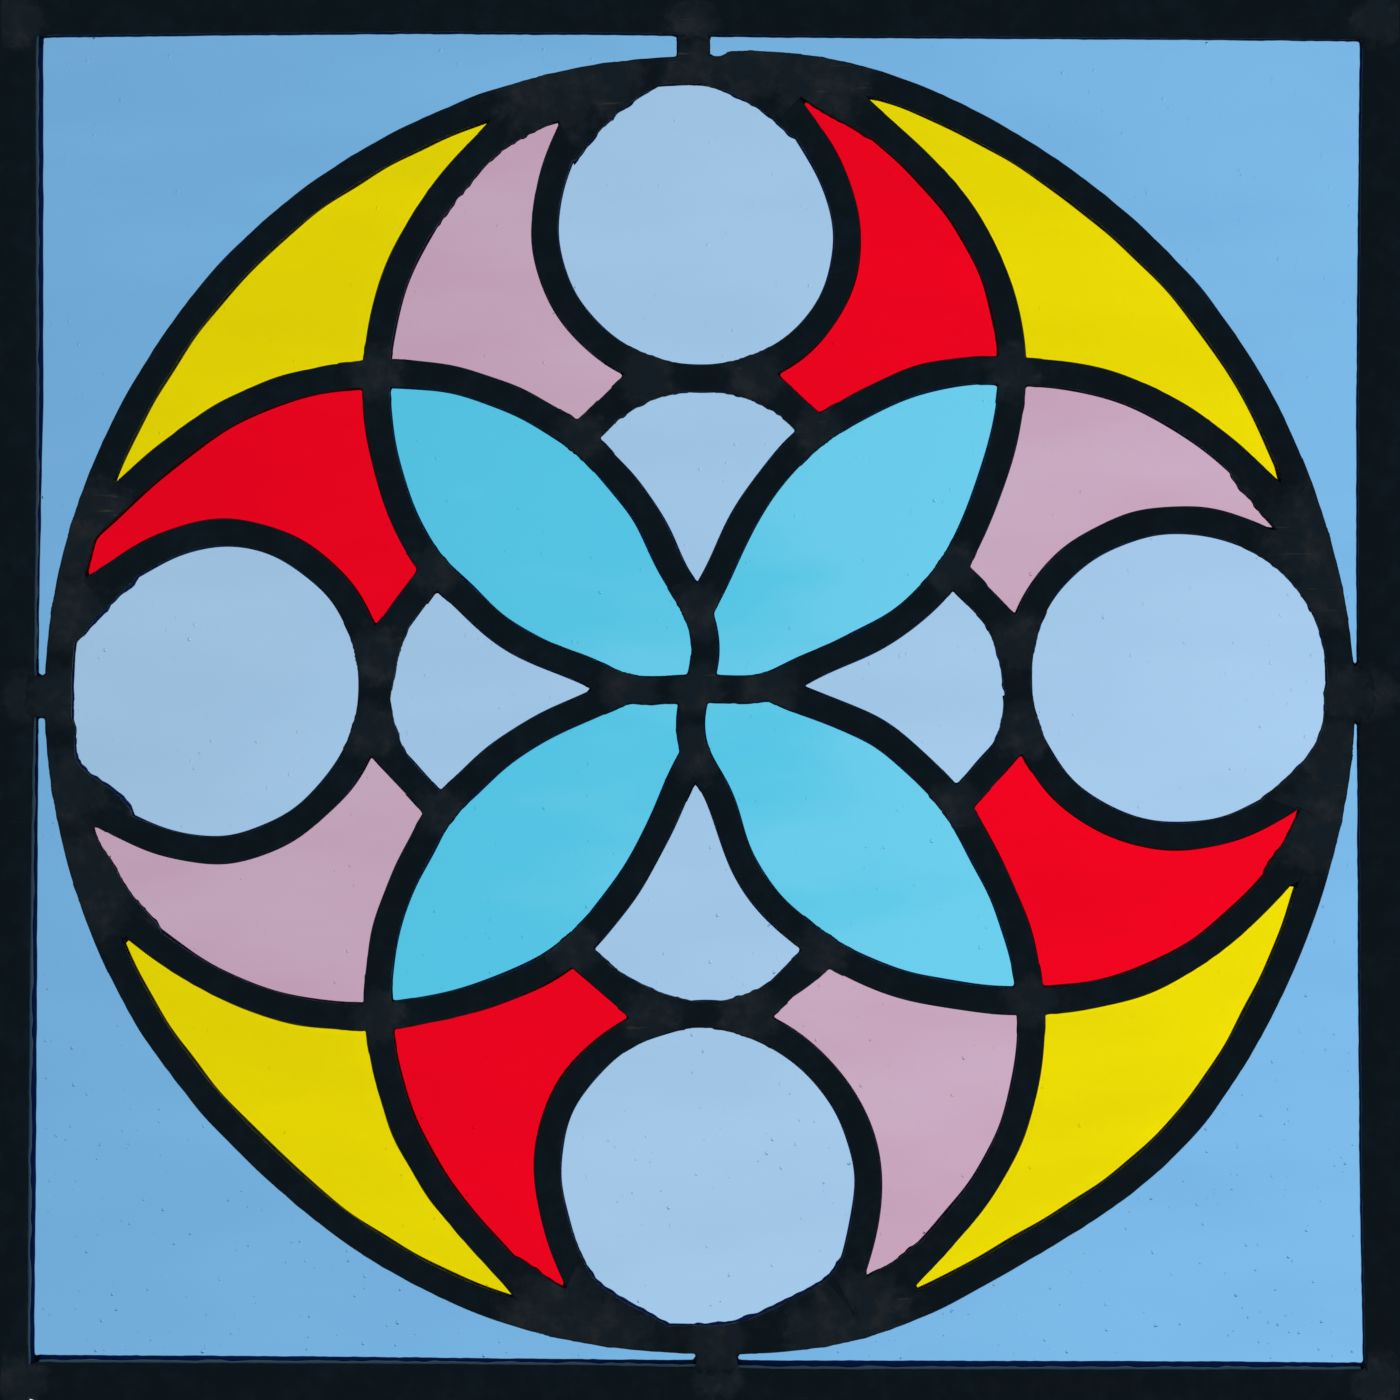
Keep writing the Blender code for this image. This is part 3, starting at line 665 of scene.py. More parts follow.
def shoulder_cames(lobes, roundels):
    """Short straight cames from a petal's edge to a roundel's came."""
    by_node = {came.node: came for came in lobes + roundels}
    cames = []
    for name, (half, foot) in SHOULDERS.items():
        if half.startswith("top"):
            lobe = "lobe_came_top"
        elif half.startswith("bottom"):
            lobe = f"lobe_came_{half}"
        else:
            lobe = f"lobe_came_{half}_inner"
        roundel = by_node[f"roundel_came_{name.split('_')[0]}"]
        start, near_end = drawn(half_lobe(half)[SHOULDER_JOINT], foot)
        line = evenly_spaced(np.array([start, nearest(roundel.line, near_end)]), STEP)
        came = Came(f"shoulder_came_{name}", line)
        came.butt_against([by_node[lobe], roundel])
        cames.append(came)
    return cames


def tie_cames(ring):
    """Short cames from the ring to the border, run in under both flanges."""
    cames = []
    for side, (angle, width) in TIES.items():
        start = drawn(angle)[0]
        end = start.copy()
        axis = 1 if side in ("top", "bottom") else 0
        end[axis] = math.copysign(HALF_SIDE - BORDER_WEB - BUTT_GAP, start[axis])
        came = Came(f"tie_came_{side}", evenly_spaced(np.array([start, end]), STEP), width)
        came.butt_against([ring])
        cames.append(came)
    return cames


def border_lines():
    """Each border came's line along the panel's edge, run so that the panel lies on its left."""
    s, b = HALF_SIDE, HALF_SIDE - BORDER_WIDTH - BUTT_GAP
    ends = {
        "left": ((-s, s), (-s, -s)),
        "right": ((s, -s), (s, s)),
        "top": ((b, s), (-b, s)),
        "bottom": ((-b, -s), (b, -s)),
    }
    return {side: evenly_spaced(np.array(corners), STEP) for side, corners in ends.items()}


def border_reach(side, line, table):
    """How far a border flange reaches inwards at each point of its line, between the table's places."""
    places = line[:, 0] if side in ("top", "bottom") else line[:, 1]
    stations, reaches = np.array(table[side]).T * MM
    return np.interp(places, stations, reaches)


def border_cames(material, painted_glow_material):
    """Straight U cames along the edges: the left and right full height, the others between them."""
    for side, line in border_lines().items():
        seed = seed_of(side)
        strays = {}
        for face, table in ((1, FRONT_REACH), (-1, BACK_REACH)):
            strays[1, face] = border_reach(side, line, table) - BORDER_WIDTH
            strays[1, face] += wander(line, seed + face, EDGE_STRAY)
        mesh = joined(side, [sweep(line, section_u(), strays, BORDER_WEB)])
        piece(f"border_lead_{side}", mesh, material, "lead", f"border_came_{side}")
        # The faces towards the glass get the painted glow
        paint_glow_inside(mesh, painted_glow_material)


def web_lines():
    """Each web's pane and its middle line, run so that the pane lies on its left: the pane's edge, moved
    away from the pane by half a web's width."""
    lines = []
    for pane_name, edges in WEBS.items():
        centre = drawn(PANE_MIDDLES[pane_name])[0]
        for edge in edges:
            line = smooth_line(drawn(*edge), STEP)
            if np.sum((centre - line) * sides_of(line)) < 0:
                line = line[::-1]
            lines.append((pane_name, line - sides_of(line) * WEB_WIDTH / 2))
    return lines


def set_thinness(mesh, values):
    """How far each point of the solder is on its way from solder's colour to lead's, as an attribute."""
    mesh.attributes.new("thinness", "FLOAT", "POINT").data.foreach_set("value", values)


def webs(material, painted_glow_material):
    """The webs of solder as bars along their lines, on both faces of the glass, with the ends of their
    edges tucked under the lead."""
    bars = []
    for seed, (pane_name, line) in enumerate(web_lines()):
        top = INNER_DEPTH / 2 - SEAT * (1 + seed % 4)
        ends = np.minimum(np.arange(len(line)), np.arange(len(line))[::-1]) * STEP
        tuck = WEB_TUCK * np.clip(1 - ends / WEB_WIDTH * 2, 0, 1) ** 2
        back_out = WEB_SET_OUT.get(pane_name, BACK_SET_OUT)
        for face, out, reach in ((1, 0, WEB_STRAY), (-1, back_out, BACK_WEB_STRAY)):
            stray = wander(line, 40 + 2 * seed + face, reach, *WEB_WAVES) + out - tuck
            bars.append(sweep(line, section_web(face, top), {(1, face): stray}, 0))
    mesh = joined("webs", bars)
    set_thinness(mesh, np.full(len(mesh.vertices), WEB_THINNESS))
    piece("solder_webs", mesh, material, "solder")
    # The webs' undersides get the painted glow
    paint_glow_inside(mesh, painted_glow_material, GLASS / 2 + SEAT)


def lead_bands(cames, face):
    """Every lead on one face as a line and how far it reaches to each side. A wide tie's line starts
    later, so that its round end stays in the ring's lead. A border flange is two bands, one along the
    panel's edge and one along the flange's own inner edge."""
    out = -FRONT_SET_BACK if face > 0 else BACK_SET_OUT
    bands = []
    for came in cames:
        first = round((came.width - CAME_WIDTH) / 2 / STEP)
        bands.append((came.line[first:], came.width / 2 + out))
    bands += [(line, WEB_WIDTH / 2) for _, line in web_lines()]
    for side, line in border_lines().items():
        inwards = sides_of(line)
        reach = border_reach(side, line, FRONT_REACH if face > 0 else BACK_REACH)
        bands.append((line + inwards * HALF_BAND, HALF_BAND))
        bands.append((line + inwards * (reach[:, None] - HALF_BAND), HALF_BAND))
    return bands


def bands_near(bands, low, high):
    """The stretch of each band's line between its first and its last point inside a box."""
    near = []
    for line, reach in bands:
        inside = np.flatnonzero(((line > low) & (line < high)).all(axis=1))
        if len(inside) > 1:
            near.append((line[inside[0] : inside[-1] + 1], reach))
    return near


def lead_edge(points, bands):
    """How far outside the lead each point is, with the corners between leads a little filled in: minus
    the fillet times the logarithm of the sum of exp(-distance / fillet) over the bands."""
    total = np.zeros(len(points))
    for line, reach in bands:
        steps = np.clip((distances(points, line) - reach) / FILLET, -40, 40)
        total += np.exp(-steps)
    return -FILLET * np.log(total)


def pool_outline(centre, reach, bands, seed, spokes):
    """How far a pool runs along each spoke: to its reach, or to the lead's edge and a ragged lap over it,
    whichever comes first."""
    angles = np.linspace(0, 2 * math.pi, spokes, endpoint=False)
    spoke = np.column_stack([np.cos(angles), np.sin(angles)])
    farthest = reach * (1 + ragged(angles, seed, POOL_RAGGEDNESS, 5))
    shares = np.linspace(0, 1, POOL_TRIES)
    tried = centre + np.einsum("k,sc->ksc", shares, spoke * farthest[:, None])
    lap = LAP + ragged(angles, seed + 1, LAP, 36)
    beyond = lead_edge(tried.reshape(-1, 2), bands).reshape(len(shares), spokes) - lap
    beyond[-1] = np.maximum(beyond[-1], FILLET)
    first = np.argmax(beyond > 0, axis=0)
    columns = np.arange(spokes)
    low, high = beyond[first - 1, columns], beyond[first, columns]
    part = np.where(first < len(shares) - 1, -low / (high - low), 1)
    return spoke, (shares[first - 1] + part * (shares[1] - shares[0])) * farthest


def solder_pool(centre, reach, height, bands, seed, face, spokes=112, rings=12):
    """A low pool of solder over a joint, on the front or the back as a sign. Its height is an arch over
    the reach with soft lumps, rounded off at the lead's edge and eased in under the border's depth: the
    limit minus the ease times the logarithm of 1 + exp((limit - height) / ease). Its rim goes down to
    the glass, and the rest of its underside lies inside the lead's flange. Its thinness is each point's
    distance from the middle as a share of the reach."""
    near = bands_near(bands, centre - 1.5 * reach, centre + 1.5 * reach)
    spoke, outline = pool_outline(centre, reach, near, seed, spokes)
    shares = 1 - (1 - np.linspace(0, 1, rings + 1)[1:]) ** 1.5
    flat = centre + np.einsum("k,sc->ksc", shares, spoke * outline[:, None])
    flat = np.concatenate([centre[None], flat.reshape(-1, 2)])
    inside = np.clip(-(lead_edge(flat, near) - LAP) / POOL_ROUNDING, 0, 1)
    rounded = np.sqrt(np.clip(1 - (1 - inside) ** 2, 0, 1))
    far = np.hypot(*(flat - centre).T) / reach
    arch = height * np.clip(1 - far**2, 0, 1) + lumps(flat, seed) * LUMP * np.clip(1.2 - far, 0, 1)
    top = face_height(flat) - EDGE_DROP + (EDGE_DROP + arch) * rounded
    limit = BORDER_DEPTH / 2 - SEAT
    top = limit - POOL_EASE * np.log1p(np.exp((limit - top) / POOL_EASE))
    points = np.column_stack([flat, top])
    tucked = centre + spoke * np.maximum(outline - POOL_LIP, outline / 2)[:, None]
    points = np.concatenate([
        points, np.insert(flat[-spokes:], 2, GLASS / 2 + SEAT, axis=1),
        np.insert(tucked, 2, POOL_FLOOR, axis=1), [[*centre, POOL_FLOOR]]])
    points[:, :2] = np.clip(points[:, :2], SEAT - HALF_SIDE, HALF_SIDE - SEAT)
    points[:, 2] *= face
    last = len(points) - 1
    faces = [tuple(i + 1 for i in quad) for quad in grid_faces(rings + 2, spokes, False, True)]
    faces += [(0, (i + 1) % spokes + 1, i + 1) for i in range(spokes)]
    faces += [(last, last - spokes + i, last - spokes + (i + 1) % spokes) for i in range(spokes)]
    points = upright(points)
    thinness = np.concatenate([far, np.ones(2 * spokes + 1)])
    return points, facing_out(points, faces), thinness


def face_height(flat):
    """The height of the lead's face: the inner cames', rising in a smooth step to the border's."""
    edge = np.abs(flat).max(axis=1)
    rise = np.clip((edge - HALF_SIDE + BORDER_WIDTH) / BORDER_RISE + 1, 0, 1)
    rise = rise * rise * (3 - 2 * rise)
    return (INNER_DEPTH + (BORDER_FACE - INNER_DEPTH) * rise) / 2


def joints():
    """Every soldered joint: its group, its place, its reach and the height of its pool, in metres."""
    made = []

    def add(group, kind, place):
        reach, height = POOLS[kind]
        made.append((group, drawn(place)[0], reach * MM, height * MM))

    for x in (-CORNER_JOINT, CORNER_JOINT):
        for y in (-CORNER_JOINT, CORNER_JOINT):
            add("border", "corner", (x, y))
    for side, (angle, _) in TIES.items():
        foot = ring_foot(angle)
        upwards = side in ("top", "bottom")
        edge = math.copysign(HALF_SIDE / MM - BORDER_JOINT_INSET, foot[1] if upwards else foot[0])
        add("border", "tie_end", (foot[0], edge) if upwards else (edge, foot[1]))
        add("ring", "tie", foot)
    add("ring", "seam", ring_foot(RING[0][0]))
    for angle, *_ in HALF_LOBE_FEET.values():
        add("ring", "lobe", ring_foot(angle))
    for first, *_, last in ROUNDELS.values():
        add("ring", "roundel", ring_foot(first))
        add("ring", "roundel", ring_foot(last))
    for tip in TIPS.values():
        add("petals", "tip", tip)
    for half, foot in SHOULDERS.values():
        add("shoulders", "shoulder", half_lobe(half)[SHOULDER_JOINT])
        add("shoulders", "shoulder_foot", foot)
    for stem in STEMS.values():
        add("middle", "stem", stem)
    add("middle", "middle", MIDDLE)
    return made


def solder(cames, material):
    """The solder as one piece for each group of joints, with a pool on both faces."""
    bands = {face: lead_bands(cames, face) for face in (1, -1)}
    groups = {}
    for seed, (group, place, reach, height) in enumerate(joints()):
        for face in (1, -1):
            pool = solder_pool(place, reach, height, bands[face], 4 * seed + face + 2, face)
            groups.setdefault(group, []).append(pool)
    for group, pools in groups.items():
        mesh = joined("solder", [(points, faces) for points, faces, _ in pools])
        set_thinness(mesh, np.concatenate([thin for _, _, thin in pools]))
        piece(f"solder_{group}", mesh, material, "solder", smooth_below=60)


def bubble(rng, place, ring=12, belts=6):
    """A thin lens of air, longer one way, its faces turned inwards: a hollow in the glass. Its height is
    the thickness times 1 - r squared, with r as the share of the way out to its rim."""
    length = (BUBBLE_LENGTH + BUBBLE_SPREAD * rng.uniform() ** 2) * MM
    wide = length * rng.uniform(*BUBBLE_WIDTHS)
    thick = wide * rng.uniform(*BUBBLE_THICKNESSES)
    turn = rng.normal(*BUBBLE_TURN)
    height = rng.uniform(-BUBBLE_DEPTH, BUBBLE_DEPTH) * MM
    around = np.linspace(0, 2 * math.pi, ring, endpoint=False)
    down = np.linspace(0, math.pi, belts + 1)[1:-1]
    x = length * np.multiply.outer(np.sin(down), np.cos(around)).ravel()
    y = wide * np.multiply.outer(np.sin(down), np.sin(around)).ravel()
    z = thick * np.multiply.outer(np.cos(down) * np.abs(np.cos(down)), np.ones(ring)).ravel()
    flat = np.column_stack([
        place[0] + x * math.cos(turn) - y * math.sin(turn),
        place[1] + x * math.sin(turn) + y * math.cos(turn), height + z])
    flat = np.concatenate([flat, [[*place, height + thick], [*place, height - thick]]])
    faces = grid_faces(belts - 1, ring, False, True)
    top, bottom, last = len(flat) - 2, len(flat) - 1, (belts - 2) * ring
    faces += [(top, (i + 1) % ring, i) for i in range(ring)]
    faces += [(bottom, last + i, last + (i + 1) % ring) for i in range(ring)]
    points = upright(flat)
    return points, [tuple(reversed(face)) for face in facing_out(points, faces)]


def merged(source):
    """The points and triangles of a CAD node's mesh, with its doubled points made one."""
    points = np.round(gathered(source.vertices, "co", 3), 7)
    points, index = np.unique(points, axis=0, return_inverse=True)
    corners = gathered(source.loops, "vertex_index", kind=np.int32)
    faces = index.reshape(-1)[corners].reshape(-1, 3)
    a, b, c = faces.T
    return points, faces[(a != b) & (b != c) & (a != c)]


def bubble_places(count, points, faces, bands, rng):
    """Places in the part of a pane that shows: chosen at random, and kept clear of the leads."""
    slab = BVHTree.FromPolygons([Vector(p) for p in points.tolist()], faces.tolist())
    low, high = points.min(axis=0), points.max(axis=0)
    corners = [np.array([x, y - HALF_SIDE]) for x, _, y in (low, high)]
    bands = bands_near(bands, corners[0] - CAME_WIDTH, corners[1] + CAME_WIDTH)
    tries = 12 * count
    places = np.column_stack(
        [rng.uniform(low[0], high[0], tries), rng.uniform(low[2], high[2], tries) - HALF_SIDE])
    places = places[lead_edge(places, bands) > BUBBLE_ROOM]
    forwards = Vector((0, 1, 0))
    hits = [slab.ray_cast(Vector((x, -GLASS, y + HALF_SIDE)), forwards)[0] is not None for x, y in places]
    return places[hits][:count]


def pane(node, bands, material, clear, slot):
    """The CAD pane's own slab with its bubbles sealed inside, whose walls are clear: they add no tint."""
    points, faces = merged(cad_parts[node].data)
    rng = np.random.default_rng(seed_of(node))
    places = bubble_places(BUBBLES[node.split("_")[0]], points, faces, bands, rng)
    parts = [(points, faces.tolist())] + [bubble(rng, place) for place in places]
    mesh = joined(node, parts)
    piece(node.replace("glass", "pane"), mesh, material, slot, node, smooth_below=35)
    second_material(mesh, clear, np.arange(len(mesh.polygons)) >= len(faces))


def putty(cames, material, glint_material):
    """Glazing cement beside every came and the border: a strip that fills the gap between a flange and
    the glass and shows a hair beyond the flange's edge. In front, at two of the borders, it stands further
    out and is a pale blue: a painted highlight, a line of light along the flanges' edges."""
    strips, glint_faces = [], []

    def add(line, reach, side, face, seed, glinting=False):
        proud, reach_stray = (GLINT_STRIP_PROUD, GLINT_STRIP_STRAY) if glinting else (PUTTY_PROUD, PUTTY_STRAY)
        edge = reach + proud + wander(line, seed, reach_stray, *PUTTY_WAVES)
        inner = HEART / 2 + PUTTY_FROM_HEART + 0 * edge
        rows = [(inner, GLASS / 2), (edge, GLASS / 2),
                (edge - PUTTY_BEVEL, CHANNEL / 2 + PUTTY_LAP), (inner, CHANNEL / 2)]
        normal = sides_of(line) * side
        grid = np.stack([np.column_stack([line + normal * across[:, None], np.full(len(line), face * height)])
                         for across, height in rows], axis=1)
        points = upright(grid.reshape(-1, 3))
        faces = grid_faces(len(line), len(rows), False, True)
        faces += [tuple(range(len(rows)))[::-1], tuple(range(len(points) - len(rows), len(points)))]
        strips.append((points, facing_out(points, faces)))
        glint_faces.extend([glinting] * len(faces))

    for number, came in enumerate(cames):
        for face, out in ((1, -FRONT_SET_BACK), (-1, -BACK_PUTTY_SHORT)):
            for side in (1, -1):
                add(came.line[::2], came.width / 2 + out, side, face, 4 * number + side + 2 * face + 60)
    for side, line in border_lines().items():
        reach = border_reach(side, line, FRONT_REACH)
        # At these sides the front strip is a painted highlight
        glinting = side in GLINT_STRIP_SIDES
        add(line, reach, 1, 1, seed_of(side) + 1, glinting)
        add(line, reach - BACK_PUTTY_SHORT, 1, -1, seed_of(side) - 1)
    mesh = joined("putty", strips)
    piece("glazing_putty", mesh, material, "putty")
    # The strip's faces at two borders take the painted highlight
    second_material(mesh, glint_material, glint_faces)


def group_of(name, inputs, outputs):
    """A new shader node group, with its input and output nodes."""
    group = bpy.data.node_groups.new(name, "ShaderNodeTree")
    for socket, kind, default in inputs:
        made = group.interface.new_socket(name=socket, in_out="INPUT", socket_type=kind)
        if default is not None:
            made.default_value = default
    for socket, kind in outputs:
        group.interface.new_socket(name=socket, in_out="OUTPUT", socket_type=kind)
    return group, group.nodes.new("NodeGroupInput"), group.nodes.new("NodeGroupOutput")


def noise(group, place, scale, detail, roughness=0.5):
    node = group.nodes.new("ShaderNodeTexNoise")
    node.inputs["Scale"].default_value = scale
    node.inputs["Detail"].default_value = detail
    node.inputs["Roughness"].default_value = roughness
    group.links.new(place, node.inputs["Vector"])
    return node.outputs["Fac"]


def stretched(group, place, turn, scale):
    """The place turned about the panel's front and scaled, so that a pattern on it is drawn out."""
    node = group.nodes.new("ShaderNodeMapping")
    node.inputs["Rotation"].default_value = (0, turn, 0)
    node.inputs["Scale"].default_value = scale
    group.links.new(place, node.inputs["Vector"])
    return node.outputs["Vector"]


def ramp(group, value, low, high, start=0.0, end=1.0):
    """The value's stretch from low to high, as start to end in a smooth step."""
    node = group.nodes.new("ShaderNodeMapRange")
    node.interpolation_type = "SMOOTHSTEP"
    for socket, number in (("From Min", low), ("From Max", high), ("To Min", start), ("To Max", end)):
        node.inputs[socket].default_value = number
    group.links.new(value, node.inputs["Value"])
    return node.outputs["Result"]


def maths(group, operation, first, second):
    node = group.nodes.new("ShaderNodeMath")
    node.operation = operation
    for socket, value in zip(node.inputs, (first, second)):
        if isinstance(value, (int, float)):
            socket.default_value = value
        else:
            group.links.new(value, socket)
    return node.outputs[0]


def mixed(group, factor, first, second):
    node = group.nodes.new("ShaderNodeMix")
    node.data_type = "RGBA"
    group.links.new(factor, node.inputs["Factor"])
    for value, socket in ((first, "A"), (second, "B")):
        target = [s for s in node.inputs if s.name == socket and s.type == "RGBA"][0]
        if isinstance(value, tuple):
            target.default_value = (*value, 1)
        else:
            group.links.new(value, target)
    return [s for s in node.outputs if s.type == "RGBA"][0]


def patina_group():
    """Tarnish on lead and solder: cloudy patches of a paler grey, fine bright scratches, and a height of
    small pits and dents."""
    group, inside, outside = group_of(
        "patina",
        [("Dark", "NodeSocketColor", None), ("Pale", "NodeSocketColor", None),
         ("Bright", "NodeSocketColor", None), ("Paleness", "NodeSocketFloat", 0.5),
         ("Scratches", "NodeSocketFloat", 0.0)],
        [("Color", "NodeSocketColor"), ("Roughness", "NodeSocketFloat"), ("Height", "NodeSocketFloat")])
    place = group.nodes.new("ShaderNodeTexCoord").outputs["Object"]
    clouds = ramp(group, noise(group, place, 210, 5, 0.62), 0.42, 0.78)
    share = maths(group, "MULTIPLY", clouds, inside.outputs["Paleness"])
    colour = mixed(group, share, inside.outputs["Dark"], inside.outputs["Pale"])
    lines = noise(group, stretched(group, place, 0.28, (60, 60, 900)), 1, 3, 0.6)
    spots = ramp(group, noise(group, place, 75, 2), 0.55, 0.68)
    scratches = maths(group, "MULTIPLY", ramp(group, lines, 0.62, 0.74), spots)
    scratches = maths(group, "MULTIPLY", scratches, inside.outputs["Scratches"])
    colour = mixed(group, scratches, colour, inside.outputs["Bright"])
    group.links.new(colour, outside.inputs["Color"])
    rough = ramp(group, noise(group, place, 350, 3), 0, 1, 0.42, 0.62)
    group.links.new(rough, outside.inputs["Roughness"])
    height = maths(group, "ADD", noise(group, place, 260, 4, 0.55), noise(group, place, 1400, 2))
    group.links.new(height, outside.inputs["Height"])
    return group


def streaks_group():
    """Streaks in hand made glass: long soft bands of a deeper and a paler tint, with more of the paler one
    towards the right, and the height of a gently uneven surface."""
    group, inside, outside = group_of(
        "glass_streaks",
        [("Deep", "NodeSocketColor", None), ("Pale", "NodeSocketColor", None),
         ("Lean", "NodeSocketFloat", 0.0)],
        [("Color", "NodeSocketColor"), ("Height", "NodeSocketFloat")])
    place = group.nodes.new("ShaderNodeTexCoord").outputs["Object"]
    bands = noise(group, stretched(group, place, 0.5, (1, 1, 3.2)), 16, 3, 0.45)
    parts = group.nodes.new("ShaderNodeSeparateXYZ")
    group.links.new(place, parts.inputs["Vector"])
    leaning = maths(group, "MULTIPLY", parts.outputs["X"], inside.outputs["Lean"])
    share = ramp(group, maths(group, "ADD", bands, leaning), 0.3, 0.7)
    colour = mixed(group, share, inside.outputs["Deep"], inside.outputs["Pale"])
    group.links.new(colour, outside.inputs["Color"])
    group.links.new(noise(group, place, 55, 2), outside.inputs["Height"])
    return group


def material_of(name):
    made = bpy.data.materials.new(name)
    made.use_nodes = True
    return made, made.node_tree, made.node_tree.nodes["Principled BSDF"]


def place_group(tree, group, values):
    node = tree.nodes.new("ShaderNodeGroup")
    node.node_tree = group
    for socket, value in values.items():
        node.inputs[socket].default_value = value
    return node


def bumped(tree, height, shader, strength, distance):
    bump = tree.nodes.new("ShaderNodeBump")
    bump.inputs["Strength"].default_value = strength
    bump.inputs["Distance"].default_value = distance
    tree.links.new(height, bump.inputs["Height"])
    tree.links.new(bump.outputs["Normal"], shader.inputs["Normal"])


def patina_values(dark, pale, paleness, scratches):
    return {"Dark": (*dark, 1), "Pale": (*pale, 1), "Bright": (*SCRATCHED, 1),
            "Paleness": paleness, "Scratches": scratches}


def metal(name, patina, soldered):
    """Tarnished lead or, if soldered, solder that thins out into lead's colour towards a pool's rim."""
    made, tree, shader = material_of(name)
    lead = place_group(tree, patina, patina_values(LEAD_GREY, LEAD_PALE, 0.5, 0.05))
    colour = lead.outputs["Color"]
    if soldered:
        pool = place_group(tree, patina, patina_values(SOLDER_GREY, SOLDER_PALE, 0.8, 0.7))
        thinness = tree.nodes.new("ShaderNodeAttribute")
        thinness.attribute_name = "thinness"
        place = tree.nodes.new("ShaderNodeTexCoord").outputs["Object"]
        patchy = maths(tree, "ADD", thinness.outputs["Fac"], noise(tree, place, 320, 3, 0.6))
        colour = mixed(tree, ramp(tree, patchy, 0.95, 1.4), pool.outputs["Color"], colour)
    tree.links.new(colour, shader.inputs["Base Color"])
    tree.links.new(lead.outputs["Roughness"], shader.inputs["Roughness"])
    shader.inputs["Metallic"].default_value = 0.4
    shader.inputs["Specular IOR Level"].default_value = 0.2
    bumped(tree, lead.outputs["Height"], shader, 0.35, 0.12 * MM)
    return made


def glass(name, streaks, colour, streak, lean):
    """Clear coloured glass. Its specular tint holds the room's reflection back, as anti glare does."""
    made, tree, shader = material_of(name)
    deep, pale = ([c * (1 + sign * s) for c, s in zip(colour, streak)] for sign in (-1, 1))
    tinted = place_group(tree, streaks, {"Deep": (*deep, 1), "Pale": (*pale, 1), "Lean": lean})
    tree.links.new(tinted.outputs["Color"], shader.inputs["Base Color"])
    shader.inputs["Roughness"].default_value = 0.0
    shader.inputs["Metallic"].default_value = 0.0
    shader.inputs["IOR"].default_value = GLASS_IOR
    shader.inputs["Specular Tint"].default_value = (0.12, 0.12, 0.12, 1)
    shader.inputs["Transmission Weight"].default_value = 1.0
    bumped(tree, tinted.outputs["Height"], shader, 0.05, 0.2 * MM)
    return made


def clear_glass():
    """The bubbles' walls. Glass tints light at each face that it passes, and theirs would tint it twice."""
    made, _, shader = material_of("clear_bubble")
    shader.inputs["Base Color"].default_value = (1, 1, 1, 1)
    shader.inputs["Roughness"].default_value = 0.0
    shader.inputs["IOR"].default_value = GLASS_IOR
    shader.inputs["Transmission Weight"].default_value = 1.0
    return made


def plain(name, colour, roughness):
    made, _, shader = material_of(name)
    shader.inputs["Base Color"].default_value = (*colour, 1)
    shader.inputs["Roughness"].default_value = roughness
    return made


def sky():
    """Light from all round: bright behind the panel, brighter to the right and a little dimmer above,
    and dim in front. It depends on the direction alone."""
    world = bpy.data.worlds.new("sky")
    bpy.context.scene.world = world
    world.use_nodes = True
    tree = world.node_tree
    direction = tree.nodes.new("ShaderNodeTexCoord").outputs["Generated"]
    parts = tree.nodes.new("ShaderNodeSeparateXYZ")
    tree.links.new(direction, parts.inputs["Vector"])
    colour = mixed(tree, ramp(tree, parts.outputs["Y"], *SKY_EDGES), ROOM_IN_FRONT, SKY_BEHIND)
    rightwards = maths(tree, "ADD", parts.outputs["X"], maths(tree, "MULTIPLY", parts.outputs["Z"], SKY_LEAN))
    strength = ramp(tree, rightwards, -0.5, 0.5, 1 - SKY_DRIFT, 1 + SKY_DRIFT)
    background = tree.nodes["Background"]
    tree.links.new(colour, background.inputs["Color"])
    tree.links.new(strength, background.inputs["Strength"])


def floor():
    """A plain pale disc well below the panel, which hangs free."""
    turns = np.linspace(0, 2 * math.pi, 64, endpoint=False)
    rim = FLOOR_REACH * np.column_stack([np.cos(turns), np.sin(turns)])
    points = np.column_stack([rim, np.full(len(turns), -FLOOR_DROP)])
    mesh = joined("floor", [(points, [tuple(range(len(turns)))])])
    mesh.materials.append(plain("pale_floor", FLOOR_GREY, 0.9))
    placed("floor", mesh)


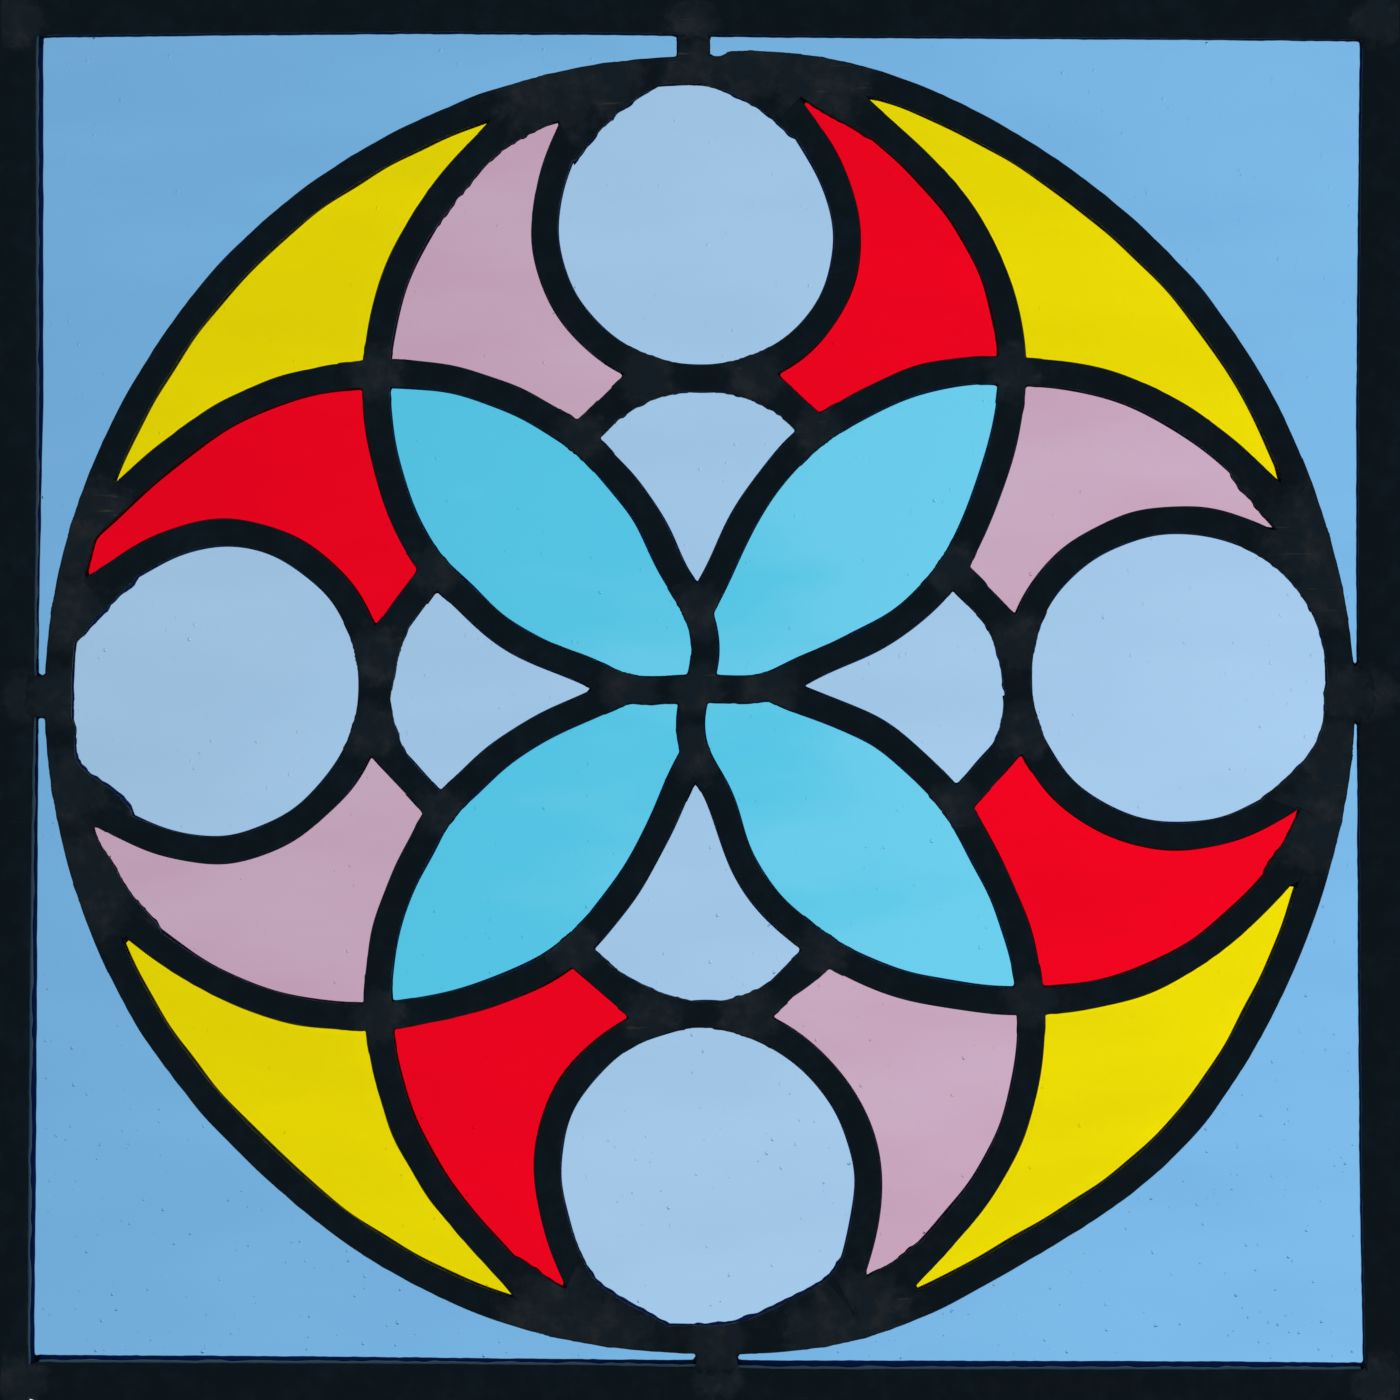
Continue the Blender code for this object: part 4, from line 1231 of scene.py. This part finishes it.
def window_light():
    """A wide soft light up to the left in front, which picks out the solder's relief."""
    light = bpy.data.lights.new("soft_window", "AREA")
    light.shape = "RECTANGLE"
    light.size, light.size_y = WINDOW_SIZE
    light.energy = WINDOW_POWER
    obj = placed("soft_window", light)
    obj.location = WINDOW_PLACE
    obj.rotation_euler = (Vector((0, 0, HALF_SIDE)) - obj.location).to_track_quat("-Z", "Y").to_euler()


def camera():
    """Square on to the panel, at the distance where its front face just fills the picture."""
    data = bpy.data.cameras.new("camera")
    data.lens, data.sensor_width = LENS, SENSOR
    data.clip_end = 50
    obj = placed("camera", data)
    away = (HALF_SIDE - 2 * EDGE_ROUNDING) / (SENSOR / 2 / LENS) + BORDER_FACE / 2
    obj.location = (0, -away, HALF_SIDE)
    obj.rotation_euler = (math.pi / 2, 0, 0)
    bpy.context.scene.camera = obj


def main():
    patina, streaks = patina_group(), streaks_group()
    lead = metal("lead", patina, soldered=False)
    soldered = metal("solder", patina, soldered=True)
    # Painted light: the blue glow on the leads' faces towards the glass
    painted_glow_material = plain("lead_underside_painted_glow", UNDERSIDE_PAINTED_GLOW, 0.5)
    cement = plain("putty", PUTTY_GREY, 0.9)
    # Painted highlight: the pale line of light along two borders' flange edges
    painted_highlight_material = plain("putty_painted_highlight", PAINTED_HIGHLIGHT, 0.9)
    glasses = {name: glass(f"{name}_glass", streaks, colour, STREAKS[name], LEANS.get(name, 0.0))
               for name, colour in GLASS_COLOURS.items()}
    clear = clear_glass()

    ring = Came("ring_came", smooth_line(drawn(*[polar(*station) for station in RING]), STEP), ring=True)
    lobes = lobe_cames(ring)
    roundels = roundel_cames(ring, lobes)
    shoulders = shoulder_cames(lobes, roundels)
    ties = tie_cames(ring)
    cames = [ring, *lobes, *roundels, *shoulders, *ties]
    for came in cames:
        piece(came.node.replace("came", "lead"), came.mesh, lead, "lead", came.node)
        # The faces towards the glass get the painted glow
        paint_glow_inside(came.mesh, painted_glow_material)
    border_cames(lead, painted_glow_material)
    solder(cames, soldered)
    webs(soldered, painted_glow_material)
    putty(cames, cement, painted_highlight_material)
    seen = lead_bands(cames, -1)
    for node in sorted(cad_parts):
        if "_glass_" in node:
            colour = PANE_GLASS[node.split("_")[0]]
            pane(node, seen, glasses[colour], clear, f"{colour}_glass")

    sky()
    floor()
    window_light()
    camera()
    bpy.context.scene.view_settings.view_transform = "Standard"


main()
